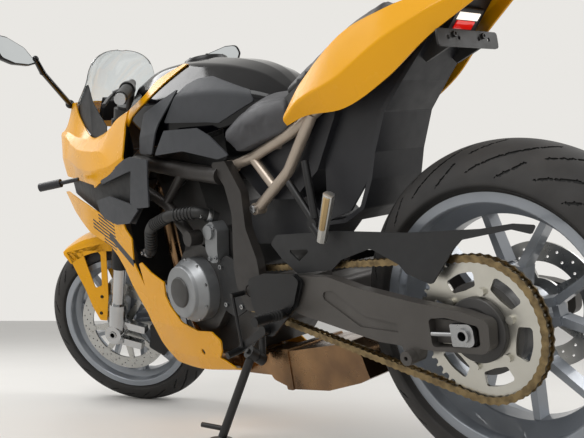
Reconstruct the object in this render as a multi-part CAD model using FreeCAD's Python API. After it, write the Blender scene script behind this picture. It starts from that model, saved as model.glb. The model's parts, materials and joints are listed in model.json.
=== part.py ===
import FreeCAD, Part
import math
import os
from FreeCAD import Placement, Rotation, Vector

# A faired sport motorcycle, parked on its side stand with the steering on its left stop.
# It is drawn upright with its wheels in line: +X forwards, +Y to the rider's left, +Z up,
# from the ground under the rear axle. park() then steers, leans and sets it on the floor.

# Stance
wheelbase = 1465.0
rake = 25.0
fork_offset = 32.5
lean = 13.0
steer_stop = 32.5

# Wheels and tyres
front_radius = 300.0
front_width = 120.0
rear_radius = 315.0
rear_width = 180.0
tyre_wall = 8.0
bead_radius = 214.0
flange_radius = 229.0
rim_wall = 5.0
front_rim_half = 54.0
rear_rim_half = 76.0
front_crown = 60.0
rear_crown = 92.0
spoke_pairs = 5
front_axle_radius = 12.5
rear_axle_radius = 12.5
running_gap = 0.3

# Brakes
front_disc_radius = 155.0
front_disc_y = 63.0
front_disc_thickness = 5.0
rear_disc_radius = 120.0
rear_disc_y = -92.0
rear_disc_thickness = 5.0

# Final drive: roller chain, with links shared by both sprockets
chain_pitch = 15.875
roller_radius = 5.08
plate_height = 14.6
link_plate = 1.8
chain_half_width = 9.4
chain_y = 108.0
rear_teeth = 48
front_teeth = 17
sprocket_thickness = 5.6
front_sprocket_x = 664.0
front_sprocket_z = 404.0
tooth_gap = 0.35

# Swingarm
pivot_x = 582.0
pivot_z = 400.0
pivot_tube_radius = 25.0
pivot_shaft_radius = 12.0
arm_inner_y = 130.0
arm_outer_y = 155.0

# Fork, in its own frame: x forward of the legs, z along them from the axle
leg_y = 106.0
stanchion_radius = 20.5
outer_tube_radius = 27.0
casting_radius = 29.0
lower_yoke_z = 500.0
upper_yoke_z = 690.0
fork_top_z = 745.0
yoke_thickness = 32.0
head_tube_radius = 31.0
head_gap = 1.0

# Bodywork
panel = 4.0
seat_gap = 0.5

rear_axle = Vector(0, 0, rear_radius)
front_axle = Vector(wheelbase, 0, front_radius)
along_fork = Vector(-math.sin(math.radians(rake)), 0, math.cos(math.radians(rake)))
ahead_of_fork = Vector(math.cos(math.radians(rake)), 0, math.sin(math.radians(rake)))
rear_pitch_radius = chain_pitch / (2 * math.sin(math.pi / rear_teeth))
front_pitch_radius = chain_pitch / (2 * math.sin(math.pi / front_teeth))


# Small shape tools

def in_xz(y):
    return lambda a, b: Vector(a, y, b)


def in_yz(x):
    return lambda a, b: Vector(x, a, b)


def in_xy(z):
    return lambda a, b: Vector(a, b, z)


def line(a, b):
    return Part.LineSegment(a, b).toShape()


def arc(a, middle, b):
    return Part.Arc(a, middle, b).toShape()


def rounded(points, radii, closed):
    """Edges through 3-D points, each corner turned by a tangent arc of its radius."""
    count = len(points)
    starts, ends, middles = [], [], []
    for i, (here, radius) in enumerate(zip(points, radii)):
        at_end = not closed and i in (0, count - 1)
        if radius <= 0 or at_end:
            starts.append(here)
            ends.append(here)
            middles.append(None)
            continue
        back = (points[i - 1] - here).normalize()
        on = (points[(i + 1) % count] - here).normalize()
        half = back.getAngle(on) / 2
        reach = radius / math.tan(half)
        inwards = (back + on).normalize()
        starts.append(here + back * reach)
        ends.append(here + on * reach)
        middles.append(here + inwards * (radius / math.sin(half) - radius))
    edges = []
    for i in range(count):
        if middles[i] is not None:
            edges.append(arc(starts[i], middles[i], ends[i]))
        if i == count - 1 and not closed:
            break
        nearest = starts[(i + 1) % count]
        if ends[i].distanceToPoint(nearest) > 1e-6:
            edges.append(line(ends[i], nearest))
    return edges


def outline(points, place):
    """A closed wire through (a, b) or (a, b, corner radius) points."""
    corners = [place(p[0], p[1]) for p in points]
    radii = [p[2] if len(p) > 2 else 0 for p in points]
    return Part.Wire(rounded(corners, radii, True))


def holed(wires):
    """A plane face with holes."""
    return Part.makeFace(wires, "Part::FaceMakerBullseye")


def slab(points, y_from, y_to):
    """A plate: an outline in X and Z, from one Y to another."""
    face = Part.Face(outline(points, in_xz(y_from)))
    return face.extrude(Vector(0, y_to - y_from, 0))


def block(points, x_from, x_to):
    """A plate: an outline in Y and Z, from one X to another."""
    face = Part.Face(outline(points, in_yz(x_from)))
    return face.extrude(Vector(x_to - x_from, 0, 0))


def deck(points, z_from, z_to):
    """A plate: an outline in X and Y, from one Z to another."""
    face = Part.Face(outline(points, in_xy(z_from)))
    return face.extrude(Vector(0, 0, z_to - z_from))


def box(x_from, x_to, y_from, y_to, z_from, z_to):
    corner = Vector(x_from, y_from, z_from)
    return Part.makeBox(x_to - x_from, y_to - y_from, z_to - z_from, corner)


def rod(start, end, radius):
    along = end - start
    return Part.makeCylinder(radius, along.Length, start, along)


def cross_rod(x, z, radius, y_from, y_to):
    """A cylinder across the machine."""
    return Part.makeCylinder(radius, y_to - y_from, Vector(x, y_from, z), Vector(0, 1, 0))


def ring(x, z, outer, inner, y_from, y_to):
    whole = cross_rod(x, z, outer, y_from, y_to)
    return whole.cut(cross_rod(x, z, inner, y_from - 1, y_to + 1))


def pipe(points, bend, radius, bore=0):
    """A bent tube along points, whose corners have one bend radius."""
    bends = bend if isinstance(bend, (list, tuple)) else [bend] * len(points)
    path = Part.Wire(rounded(points, bends, False))
    start, on = points[0], points[1] - points[0]

    def sweep(size):
        section = Part.Wire(Part.Circle(start, on, size).toShape())
        return path.makePipeShell([section], True, True)
    made = sweep(radius)
    return made.cut(sweep(bore)) if bore else made


def lathe(profile, x=0, z=0):
    """A solid turned about a cross axis from (radius, y) or (radius, y, corner) points."""
    turned = [(p[1], p[0]) + tuple(p[2:]) for p in profile]
    face = Part.Face(outline(turned, in_yz(0)))
    made = face.revolve(Vector(0, 0, 0), Vector(0, 1, 0), 360)
    made.translate(Vector(x, 0, z))
    return Part.Solid(made) if made.ShapeType == "Shell" else made


def fused(*shapes):
    made = shapes[0].fuse(list(shapes[1:])) if len(shapes) > 1 else shapes[0]
    return made.removeSplitter()


def mirrored(shape):
    return shape.mirror(Vector(0, 0, 0), Vector(0, 1, 0))


def pair(shape):
    """The left piece and its mirror image, as separate solids of one node."""
    return Part.makeCompound([shape, mirrored(shape)])


def main_solids(shape, least=200.0):
    """The solids of a cut shape, without the crumbs that a cut leaves."""
    kept = [s for s in shape.Solids if s.Volume > least]
    return kept[0] if len(kept) == 1 else Part.makeCompound(kept)


def carved(shape, *others):
    """A piece with the room of its neighbours cut out of it."""
    return main_solids(shape.cut(list(others)))


def turned_about(shape, centre, axis, degrees):
    made = shape.copy()
    made.rotate(centre, axis, degrees)
    return made


# Frames: the fork's own, and the parked machine

def fork_frame():
    return Placement(front_axle, Rotation(Vector(0, 1, 0), -rake))


def steering_foot():
    return front_axle - ahead_of_fork * fork_offset


def steered():
    """Turns the steering from straight ahead to its left stop."""
    turn = Rotation(along_fork, steer_stop)
    foot = steering_foot()
    return Placement(foot - turn.multVec(foot), turn)


def lowest(centre, axis, radius, crown):
    """The lowest point of a tyre of round crown, from its centre and its axle's direction."""
    level = math.sqrt(1 - axis.z * axis.z)
    return centre.z - (radius - crown) * level - crown


def park():
    """Leans the machine on its left side and stands both tyres on the floor."""
    lean_over = Rotation(Vector(1, 0, 0), -lean)
    dip, height = 0.0, 0.0
    turn = steered()
    for _ in range(12):
        placed = Placement(Vector(0, 0, height), Rotation(Vector(0, 1, 0), dip) * lean_over)
        across = placed.Rotation.multVec(Vector(0, 1, 0))
        front_across = placed.Rotation.multVec(turn.Rotation.multVec(Vector(0, 1, 0)))
        rear_low = lowest(placed.multVec(rear_axle), across, rear_radius, rear_crown)
        front_centre = placed.multVec(turn.multVec(front_axle))
        front_low = lowest(front_centre, front_across, front_radius, front_crown)
        height -= rear_low
        dip += math.degrees((front_low - rear_low) / wheelbase)
    return placed


# Wheels

def tyre(radius, width, rim_half, crown):
    """A tyre as its shell: beads against the flanges, short walls and a round crown."""
    half = width / 2
    shoulder = radius - crown
    if crown > half:
        shoulder += math.sqrt(crown ** 2 - half ** 2)
    bead_y = rim_half - rim_wall
    lip = flange_radius + 1.5

    def side(sign, inset):
        edge_y = half - inset
        foot = Vector(0, sign * (bead_y - inset), bead_radius)
        flank = Vector(0, sign * (bead_y - inset), lip + inset * 0.4)
        bulge = Vector(0, sign * (bead_y - inset + (edge_y - bead_y + inset) * 0.72),
                       lip + inset * 0.4 + (shoulder - lip - inset * 0.4) * 0.42)
        edge = Vector(0, sign * edge_y, shoulder)
        return foot, flank, bulge, edge
    foot_l, flank_l, bulge_l, edge_l = side(1, 0)
    foot_r, flank_r, bulge_r, edge_r = side(-1, 0)
    in_foot_l, in_flank_l, in_bulge_l, in_edge_l = side(1, tyre_wall)
    in_foot_r, in_flank_r, in_bulge_r, in_edge_r = side(-1, tyre_wall)
    edges = [
        line(foot_l, flank_l), arc(flank_l, bulge_l, edge_l),
        arc(edge_l, Vector(0, 0, radius), edge_r),
        arc(edge_r, bulge_r, flank_r), line(flank_r, foot_r), line(foot_r, in_foot_r),
        line(in_foot_r, in_flank_r), arc(in_flank_r, in_bulge_r, in_edge_r),
        arc(in_edge_r, Vector(0, 0, radius - tyre_wall), in_edge_l),
        arc(in_edge_l, in_bulge_l, in_flank_l), line(in_flank_l, in_foot_l), line(in_foot_l, foot_l),
    ]
    made = Part.Face(Part.Wire(edges)).revolve(Vector(0, 0, 0), Vector(0, 1, 0), 360)
    return Part.Solid(made) if made.ShapeType == "Shell" else made


def rim(rim_half, well_radius, hub_half, hub_radius, axle_radius, first_arm, spoke_half):
    """A cast wheel: barrel with flanges, hub, and pairs of arms joined near the hub."""
    seat = bead_radius - running_gap
    barrel = lathe([
        (flange_radius, rim_half), (flange_radius, rim_half - rim_wall + running_gap, 1),
        (seat, rim_half - rim_wall + running_gap), (seat, rim_half - 22, 3),
        (well_radius, rim_half * 0.32, 6), (well_radius, -rim_half * 0.32, 6),
        (seat, -rim_half + 22, 3), (seat, -rim_half + rim_wall - running_gap),
        (flange_radius, -rim_half + rim_wall - running_gap, 1), (flange_radius, -rim_half),
        (seat - rim_wall, -rim_half, 4), (seat - rim_wall, -rim_half + 26, 4),
        (well_radius - rim_wall, -rim_half * 0.26, 6), (well_radius - rim_wall, rim_half * 0.26, 6),
        (seat - rim_wall, rim_half - 26, 4), (seat - rim_wall, rim_half, 4),
    ])
    hub = ring(0, 0, hub_radius, axle_radius + running_gap, -hub_half, hub_half)
    landing = well_radius - rim_wall / 2
    arms = []
    arm_spread = 180.0 / spoke_pairs
    fork_at = landing * 0.5
    for i in range(spoke_pairs):
        middle = math.radians(first_arm + arm_spread / 2 + i * 360.0 / spoke_pairs)
        spine = Vector(math.cos(middle), 0, math.sin(middle))
        over = Vector(-math.sin(middle), 0, math.cos(middle))
        for sign in (-1, 1):
            end_angle = middle + sign * math.radians(arm_spread / 2)
            end = Vector(math.cos(end_angle), 0, math.sin(end_angle)) * landing
            root = spine * (hub_radius * 0.7) + over * (sign * 14)
            knee = spine * fork_at + over * (sign * 17)
            thick = spoke_half
            arms.append(arm_bar(root, knee, 9, 7.5, thick))
            arms.append(arm_bar(knee, end, 7.5, 6.0, thick * 0.8))
        web = spine * (fork_at - 6)
        arms.append(arm_bar(web - over * 14, web + over * 14, 6, 6, spoke_half * 0.7))
    inside = cross_rod(0, 0, well_radius - 1, -rim_half, rim_half)
    star = arms[0].fuse(arms[1:]).common(inside)
    bore = cross_rod(0, 0, axle_radius + running_gap, -rim_half, rim_half)
    return barrel.fuse([hub, star]).cut(bore).removeSplitter()


def arm_bar(start, end, start_half, end_half, y_half):
    """A straight cast bar in the wheel's plane, tapering from one end to the other."""
    along = (end - start).normalize()
    over = Vector(-along.z, 0, along.x)
    ends = [
        start - over * start_half, start + over * start_half,
        end + over * end_half, end - over * end_half,
    ]
    return slab([(p.x, p.z) for p in ends], -y_half, y_half)


def disc(radius, thickness, y, hole_rows, inner, buttons, hub_radius, carrier_half):
    """A drilled brake disc on its arms: friction ring, carrier and buttons in one piece."""
    ring_face = ring(0, 0, radius, inner, y - thickness / 2, y + thickness / 2)
    drills = []
    for k, (share, count, shift) in enumerate(hole_rows):
        at = inner + (radius - inner) * share
        for i in range(count):
            angle = math.radians(shift + i * 360.0 / count)
            drills.append(cross_rod(at * math.cos(angle), at * math.sin(angle), 2.6, y - 8, y + 8))
    ring_face = ring_face.cut(drills)
    carrier = ring(0, 0, hub_radius + 16, hub_radius, y - carrier_half, y + carrier_half)
    arms = []
    for i in range(buttons):
        angle = math.radians(7 + i * 360.0 / buttons)
        out = Vector(math.cos(angle), 0, math.sin(angle))
        arms.append(arm_bar(out * (hub_radius + 8), out * (inner + 1), 13, 8, carrier_half).translated(Vector(0, y, 0)))
        at = out * inner
        arms.append(cross_rod(at.x, at.z, 8, y - carrier_half - 1.2, y + carrier_half + 1.2))
    return carrier.fuse(arms + [ring_face]).removeSplitter()


def front_wheel():
    tyre_ring = tyre(front_radius, front_width, front_rim_half, front_crown)
    cast = rim(front_rim_half, 196.0, 44.0, 34.0, front_axle_radius, 26.0, 15.0)
    disc_seat = front_disc_y - 4.6
    spigot = ring(0, 0, 30, front_axle_radius + running_gap, 44.0, disc_seat)
    cast = fused(cast, spigot, mirrored(spigot))
    brake = disc(front_disc_radius, front_disc_thickness, front_disc_y,
                 ((0.28, 24, 0), (0.55, 24, 5), (0.8, 24, 10)), 116.0, 8, 30.0, 3.5)
    hub_plate = ring(0, 0, 33, front_axle_radius + running_gap, front_disc_y - 4.6, front_disc_y + 3.5)
    brake = fused(brake, hub_plate)
    return {"front_tyre": tyre_ring, "front_rim": cast, "front_discs": pair(brake)}


def sprocket(teeth, pitch_radius, inner):
    """A chain wheel whose gaps are seats for the rollers."""
    tip = pitch_radius + roller_radius * 0.6
    seat = roller_radius + tooth_gap
    blank = cross_rod(0, 0, tip, -sprocket_thickness / 2, sprocket_thickness / 2)
    gaps = []
    for i in range(teeth):
        angle = 2 * math.pi * i / teeth
        out = Vector(math.cos(angle), 0, math.sin(angle))
        over = Vector(-math.sin(angle), 0, math.cos(angle))
        at = out * pitch_radius
        flare = out * (tip + 1)
        spread = seat * 1.3
        corners = [at - over * seat, at + over * seat, flare + over * spread, flare - over * spread]
        gaps.append(cross_rod(at.x, at.z, seat, -4, 4))
        gaps.append(slab([(p.x, p.z) for p in corners], -4, 4))
    made = blank.cut(gaps)
    return made.cut(cross_rod(0, 0, inner, -5, 5))


def rear_wheel():
    tyre_ring = tyre(rear_radius, rear_width, rear_rim_half, rear_crown)
    cast = rim(rear_rim_half, 190.0, 62.0, 42.0, rear_axle_radius, 12.0, 20.0)
    carrier_from, carrier_to = 62.0, chain_y + 18
    carrier = lathe([
        (rear_axle_radius + running_gap, carrier_from), (76, carrier_from, 4),
        (80, chain_y - 12, 3), (80, chain_y - sprocket_thickness / 2),
        (56, chain_y - sprocket_thickness / 2), (56, carrier_to - 4, 3), (40, carrier_to, 2),
        (rear_axle_radius + running_gap, carrier_to),
    ])
    chain_wheel = sprocket(rear_teeth, rear_pitch_radius, 56 + 0.2)
    slots = []
    for i in range(6):
        window = [(70, -24, 5), (94, -30, 6), (99, 0, 60), (94, 30, 6), (70, 24, 5), (68, 0, 40)]
        slot = slab(window, -5, 5)
        slots.append(turned_about(slot, Vector(0, 0, 0), Vector(0, 1, 0), -15 - 60 * i))
    chain_wheel = chain_wheel.cut(slots)
    studs = []
    for i in range(6):
        angle = math.radians(45 + 60 * i)
        at = Vector(66 * math.cos(angle), 0, 66 * math.sin(angle))
        studs.append(cross_rod(at.x, at.z, 7, sprocket_thickness / 2, sprocket_thickness / 2 + 7))
    chain_wheel = chain_wheel.fuse(studs).removeSplitter()
    chain_wheel.translate(Vector(0, chain_y, 0))
    brake = disc(rear_disc_radius, rear_disc_thickness, rear_disc_y,
                 ((0.3, 20, 0), (0.65, 20, 9)), 82.0, 5, 34.0, 3.0)
    spigot = ring(0, 0, 40, rear_axle_radius + running_gap, rear_disc_y - 5, rear_disc_y + 3.4)
    boss = ring(0, 0, 34 - running_gap, rear_axle_radius + running_gap, rear_disc_y + 3.4, -62.0)
    brake = fused(brake, spigot)
    cast = fused(cast, boss)
    made = {"rear_tyre": tyre_ring, "rear_rim": cast, "sprocket_carrier": carrier,
            "rear_sprocket": chain_wheel, "rear_disc": brake}
    return made


# Chain

def chain_runs():
    """Where the chain's pitch line meets the two sprockets: tangent angles of both runs."""
    across = Vector(front_sprocket_x, 0, front_sprocket_z) - rear_axle
    slope = math.atan2(across.z, across.x)
    taper = math.asin((rear_pitch_radius - front_pitch_radius) / across.Length)
    return slope + math.pi / 2 - taper, slope - math.pi / 2 + taper


def front_pin_angles():
    """The pins seated on the front sprocket, from the lower run's to the upper run's."""
    upper, lower = chain_runs()
    step = 2 * math.pi / front_teeth
    sweep = (upper - lower) % (2 * math.pi)
    steps = math.ceil(sweep / step)
    start = lower - (steps * step - sweep) / 2
    return [start + i * step for i in range(steps + 1)]


def chain():
    """A closed loop of links: two strips of scalloped plates joined by pins through rollers."""
    upper, lower = chain_runs()
    rear = rear_axle
    front = Vector(front_sprocket_x, 0, front_sprocket_z)
    step = 2 * math.pi / rear_teeth

    def on_rear(angle):
        return rear + Vector(math.cos(angle), 0, math.sin(angle)) * rear_pitch_radius
    first = math.floor(upper / step) * step
    last = math.ceil((lower + 2 * math.pi) / step) * step
    wrapped = int(round((last - first) / step))
    pins = [on_rear(first + i * step) for i in range(wrapped + 1)]
    front_angles = front_pin_angles()
    low_out = Vector(math.cos(front_angles[0]), 0, math.sin(front_angles[0]))
    top_out = Vector(math.cos(front_angles[-1]), 0, math.sin(front_angles[-1]))
    front_low = front + low_out * front_pitch_radius
    front_top = front + top_out * front_pitch_radius

    def run(start, end):
        gap = end - start
        count = int(round(gap.Length / chain_pitch))
        return [start + gap * (i / count) for i in range(1, count + 1)]
    pins += run(pins[-1], front_low)[:-1]
    for i in range(len(front_angles)):
        angle = front_angles[i]
        pins.append(front + Vector(math.cos(angle), 0, math.sin(angle)) * front_pitch_radius)
    pins += run(front_top, pins[0])[:-1]
    return pins


def chain_solid():
    """Both rows of plates with the pins' rollers between them, as one closed skin."""
    pins = chain()
    count = len(pins)
    middle_of_loop = pin_middle(pins)
    rims = {1: [], -1: []}
    for i, here in enumerate(pins):
        before, after = pins[i - 1], pins[(i + 1) % count]
        along = (after - before).normalize()
        out = Vector(along.z, 0, -along.x)
        out = out * -1 if out.dot(here - middle_of_loop) < 0 else out
        waist = (here + after) * 0.5
        for sign, rim_points in rims.items():
            rim_points.append(here + out * (sign * plate_height / 2))
            rim_points.append(waist + out * (sign * plate_height * 0.36))
    sides = [[here + Vector(math.cos(k * math.pi / 3), 0, math.sin(k * math.pi / 3)) * roller_radius
              for k in range(6)] for here in pins]

    def at(points, y):
        return [p + Vector(0, y, 0) for p in points]

    def loop_wire(points, y):
        placed = at(points, y)
        return Part.makePolygon(placed + placed[:1])

    def wall(points, y_from, y_to):
        near, far = at(points, y_from), at(points, y_to)
        quads = []
        for k in range(len(points)):
            n = (k + 1) % len(points)
            quads.append(Part.Face(Part.makePolygon([near[k], near[n], far[n], far[k], near[k]])))
        return quads
    inner_y = chain_half_width - 2 * link_plate
    faces = []
    for sign in (1, -1):
        outside = [loop_wire(rims[1], sign * chain_half_width), loop_wire(rims[-1], sign * chain_half_width)]
        faces.append(holed(outside))
        holes = [loop_wire(side, sign * inner_y) for side in sides]
        inside = [loop_wire(rims[1], sign * inner_y), loop_wire(rims[-1], sign * inner_y)]
        faces.append(holed(inside + holes))
        for rim_points in rims.values():
            faces += wall(rim_points, sign * inner_y, sign * chain_half_width)
    for side in sides:
        faces += wall(side, -inner_y, inner_y)
    skin = Part.Shell(faces)
    skin.sewShape()
    made = Part.Solid(skin)
    if made.Volume < 0:
        made.reverse()
    made.translate(Vector(0, chain_y, 0))
    return made


def pin_middle(pins):
    return Vector(sum(p.x for p in pins) / len(pins), 0, sum(p.z for p in pins) / len(pins))


# Swingarm, frame and engine

def swingarm():
    rear_part = slab([
        (420, 428, 20), (308, 424, 30), (228, 399, 60), (112, 374), (0, 354, 40), (-50, 338, 14),
        (-44, 284, 20), (77, 286, 60), (194, 297, 60), (420, 350, 10),
    ], arm_inner_y, arm_outer_y)
    window = slab([(70, 342, 8), (34, 344, 4), (-30, 330, 8), (-28, 296, 8), (70, 292, 8)],
                  arm_inner_y - 1, arm_outer_y + 1)
    relief = slab([(350, 392, 10), (300, 396, 8), (220, 345, 10), (142, 332, 3), (142, 316, 3), (236, 324, 20)],
                  arm_outer_y - 3, arm_outer_y + 1)
    axle_plate = slab([(75, 340), (-34, 328), (-32, 298), (75, 296)], arm_inner_y, arm_inner_y + 8)
    axle_plate = axle_plate.cut(cross_rod(0, rear_radius, rear_axle_radius, 0, 200))
    step_block = slab([(470, 424, 10), (392, 424), (392, 352), (470, 362, 10)], 60, arm_outer_y)
    neck = slab([(pivot_x, 421), (465, 421), (465, 366), (pivot_x, 380)], 60, 92)
    stand_boss = cross_rod(119, 274, 13, arm_inner_y, arm_outer_y + 18)
    bobbin_hole = cross_rod(119, 274, 4, arm_outer_y - 8, arm_outer_y + 19)
    stand_lug = slab([(119 + 22, 296), (119 - 22, 296), (119 - 12, 268), (119 + 12, 268)],
                     arm_inner_y, arm_outer_y)
    side = fused(rear_part, step_block, neck, stand_lug, stand_boss)
    side = side.cut([window, relief, bobbin_hole]).fuse(axle_plate)
    beam = slab([(450, 414, 12), (345, 410, 14), (345, 362, 14), (450, 368, 12)], -100, 100)
    tube = cross_rod(pivot_x, pivot_z, pivot_tube_radius, -100, 100)
    made = side.fuse([mirrored(side), beam, tube])
    return made.cut([cross_rod(pivot_x, pivot_z, pivot_shaft_radius + running_gap, -120, 120)])


def axle_with_blocks():
    """The rear axle, held by the adjuster blocks in the arms' ends."""
    span = arm_outer_y + 8
    bar = cross_rod(0, rear_radius, rear_axle_radius - 0.2, -span, span)
    bar = bar.cut(cross_rod(0, rear_radius, 8.0, -span - 1, span + 1))
    block_plate = slab([(25, rear_radius + 19, 3), (-20, rear_radius + 19, 12), (-20, rear_radius - 19, 12),
                        (25, rear_radius - 19, 3)], arm_outer_y - 8, arm_outer_y + 3)
    block_plate = block_plate.cut(cross_rod(0, rear_radius, 8.0, 0, 200))
    bolt = rod(Vector(24, arm_outer_y - 3, rear_radius), Vector(69, arm_outer_y - 3, rear_radius), 4)
    spacer = ring(0, rear_radius, 20, rear_axle_radius - 0.2, chain_y + 18 + running_gap, arm_inner_y - 0.1)
    far_spacer = ring(0, rear_radius, 20, rear_axle_radius - 0.2, -arm_inner_y + 0.1, rear_disc_y - 5 - running_gap)
    return fused(bar, block_plate, mirrored(block_plate), bolt, mirrored(bolt), spacer, far_spacer)


def main_frame():
    head = rod(steering_foot() + along_fork * (lower_yoke_z + yoke_thickness / 2 + head_gap),
               steering_foot() + along_fork * (upper_yoke_z - yoke_thickness / 2 - head_gap),
               head_tube_radius)
    plate = slab([
        (664, 712, 8), (600, 706, 8), (557, 628, 30), (563, 544, 40), (540, 470, 30), (538, 400, 30),
        (566, 352, 20), (612, 352, 16), (634, 415, 30), (634, 458, 60), (606, 582, 60), (618, 650, 20),
    ], 124, 146)
    ear = ring(pivot_x, pivot_z, 26, 14, 146, 150)
    spar = pipe([Vector(1182, 14, 824), Vector(1062, 118, 782), Vector(760, 134, 704), Vector(640, 135, 676)],
                [0, 60, 60, 0], 21)
    lower_spar = pipe([Vector(1200, 14, 784), Vector(1062, 124, 706), Vector(905, 138, 640), Vector(800, 142, 540)],
                      [0, 50, 60, 0], 15)
    brace = rod(Vector(800, 136, 712), Vector(905, 138, 640), 12)
    lug = cross_rod(800, 540, 20, 122, 158)
    side = fused(plate, spar, lower_spar, brace, ear, lug)
    cross = cross_rod(640, 676, 16, -135, 135)
    low_cross = cross_rod(566, 372, 9, -130, 130)
    shaft = cross_rod(pivot_x, pivot_z, pivot_shaft_radius, -149, 149)
    whole = fused(side, mirrored(side), cross, shaft, head)
    stem_bore = rod(steering_foot() + along_fork * lower_yoke_z, steering_foot() + along_fork * upper_yoke_z,
                    16 + running_gap)
    return whole.cut(stem_bore)


def subframe():
    upper = pipe([Vector(619, 112, 694), Vector(530, 112, 702), Vector(395, 112, 728), Vector(180, 100, 800)],
                 [0, 60, 80, 0], 12.5)
    lower = pipe([Vector(546, 112, 584), Vector(420, 112, 650), Vector(330, 112, 740), Vector(318, 112, 753)],
                 [0, 80, 10, 0], 12.5)
    brace = rod(Vector(536, 112, 700), Vector(474, 112, 622), 11)
    lug_top = cross_rod(619, 694, 15, 98, 123.5)
    lug_low = cross_rod(546, 584, 14, 98, 123.5)
    side = fused(upper, lower, brace, lug_top, lug_low)
    cross = cross_rod(458, 714, 9, -106, 106)
    return fused(side, mirrored(side), cross)


def crankcase():
    case = slab([
        (955, 470, 20), (950, 350, 30), (905, 270, 40), (820, 235, 20), (700, 235, 20), (628, 300, 30),
        (618, 450, 20), (700, 545, 20), (780, 560, 10), (925, 520, 10),
    ], -112, 92)
    left = slab([
        (938, 450, 30), (930, 350, 40), (880, 300, 40), (790, 300, 30), (735, 350, 30), (735, 470, 30),
        (800, 520, 30), (900, 505, 30),
    ], 92, 118)
    return fused(case, left)


def engine_top():
    barrels = slab([(770, 555), (922, 515), (972, 660), (812, 710)], -96, 92)
    head = slab([(808, 706, 6), (974, 655, 6), (1008, 735, 16), (985, 752, 10), (850, 776, 16), (826, 760, 12)],
                -101, 98)
    return fused(barrels, head)


def engine_covers():
    """The generator cover on the left and the clutch cover on the right."""
    gen_x, gen_z = 835, 408
    generator = lathe([(0, 118), (84, 118), (84, 150, 8), (70, 172, 6), (66, 182, 4), (0, 186)], gen_x, gen_z)
    clutch = lathe([(0, -112), (96, -112), (96, -150, 10), (74, -168, 8), (0, -174)], 742, 402)
    crank_cap = lathe([(0, -112), (62, -112), (62, -138, 8), (0, -148)], 868, 392)
    return Part.makeCompound([generator, fused(clutch, crank_cap)])


def sprocket_cover():
    """The black cover over the front sprocket, open behind for the chain."""
    cover = slab([(735, 470, 12), (735, 350, 12), (690, 330, 20), (640, 350, 20), (625, 400, 20), (640, 462, 20),
                  (690, 486, 20)], 118.5, 123.6)
    wall = slab([(735, 470, 12), (735, 350, 12), (722, 345), (722, 475)], 92.5, 118.5)
    return fused(cover, wall)


def radiator():
    core = slab([(1062, 430), (1096, 430), (1116, 648), (1080, 648)], -165, 165)
    top_tank = slab([(1080, 648), (1117, 648), (1118, 668, 8), (1082, 668, 8)], -150, 150)
    neck = rod(Vector(1072, 150, 520), Vector(1036, 150, 520), 12)
    hanger = box(1086, 1112, 112, 124, 660, 690)
    return fused(core, top_tank, neck, hanger, mirrored(hanger))


def exhaust_headers():
    """Three pipes down the front of the engine and back under it to one collector."""
    pipes = []
    for y in (-72.0, 0.0, 72.0):
        inwards = y * 0.55
        pipes.append(pipe([Vector(1000.6, y, 715.7), Vector(1037.6, y, 700), Vector(1012, y * 0.95, 420),
                           Vector(966, inwards, 198), Vector(760, inwards, 196)], [0, 36, 90, 60, 0], 18.5))
    collector = slab([(800, 222, 8), (800, 172, 8), (640.3, 172), (640.3, 224)], -62, 62)
    return fused(collector, *pipes)


def exhaust_box():
    shell = slab([(640, 236, 12), (534, 246, 20), (372, 268, 16), (330, 252, 16), (282, 208, 12), (334, 186, 20),
                  (438, 160, 30), (564, 152, 30), (640, 172, 20)], -96, 84)
    shell = shell.cut(cross_rod(0, rear_radius, rear_radius + 12, -120, 120))
    outlet = pipe([Vector(450, -78, 214), Vector(372, -122, 212), Vector(236, -126, 214)], [0, 60, 0], 22)
    outlet = outlet.cut(rod(Vector(330, -126, 214), Vector(230, -126, 214), 19))
    strap = slab([(560, 150, 4), (584, 150, 4), (584, 246, 4), (560, 248, 4)], -98, 86)
    return fused(shell, outlet, strap)


def coolant_hose():
    return pipe([Vector(1035.7, 150, 520), Vector(1012, 150, 520), Vector(940, 178, 588), Vector(830, 178, 606),
                 Vector(756, 140, 602), Vector(742, 96, 580)], [0, 22, 60, 50, 30, 0], 15)


# Tank, seats and tail

def lofted(stations, smooth=True):
    """A loft through closed sections: each is an X and its rounded outline in Y and Z."""
    wires = [outline(points, in_yz(x)) for x, points in stations]
    return Part.makeLoft(wires, True, not smooth)


def both_sides(half):
    """A closed symmetric outline from its left half, listed from the top centre down."""
    left = [(y, z, r) for y, z, r in half]
    right = [(-y, z, r) for y, z, r in reversed(half)]
    return left + right


def tank_body(grow=0.0):
    # x, top z, shoulder y, shoulder z, knee y, knee z, base y, base z
    sections = [
        (470, 872, 50, 866, 84, 842, 80, 800),
        (560, 938, 84, 922, 134, 856, 126, 800),
        (700, 985, 122, 962, 168, 876, 152, 800),
        (860, 1010, 136, 986, 178, 900, 160, 800),
        (1000, 1002, 110, 980, 150, 905, 140, 810),
    ]
    stations = []
    for x, top, shoulder_y, shoulder_z, knee_y, knee_z, base_y, base_z in sections:
        half = [(20, top, 0), (shoulder_y + grow, shoulder_z, 40), (knee_y + grow, knee_z, 30),
                (base_y + grow, base_z, 10)]
        stations.append((x, both_sides(half)))
    return lofted(stations)


def tank_pads(tank):
    grown = tank_body(5)
    upper = slab([(842, 812, 6), (606, 916, 14), (470, 846, 10), (520, 806, 10)], 20, 220)
    return pair(carved(grown.common(upper), tank))


def seat(sections, cut):
    stations = []
    for x, top, bottom, half in sections:
        edge = (top - bottom) * 0.3
        points = [(half * 0.55, top, 30), (half, top - edge, 14), (half * 0.94, bottom, 8)]
        stations.append((x, both_sides(points)))
    made = lofted(stations)
    return carved(made, *cut) if cut else made


def rider_seat(*cut):
    # x, top z, bottom z, half width
    return seat([(393, 824, 758, 150), (450, 812, 744, 156), (530, 803, 738, 140), (612, 800, 742, 104)], cut)


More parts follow.
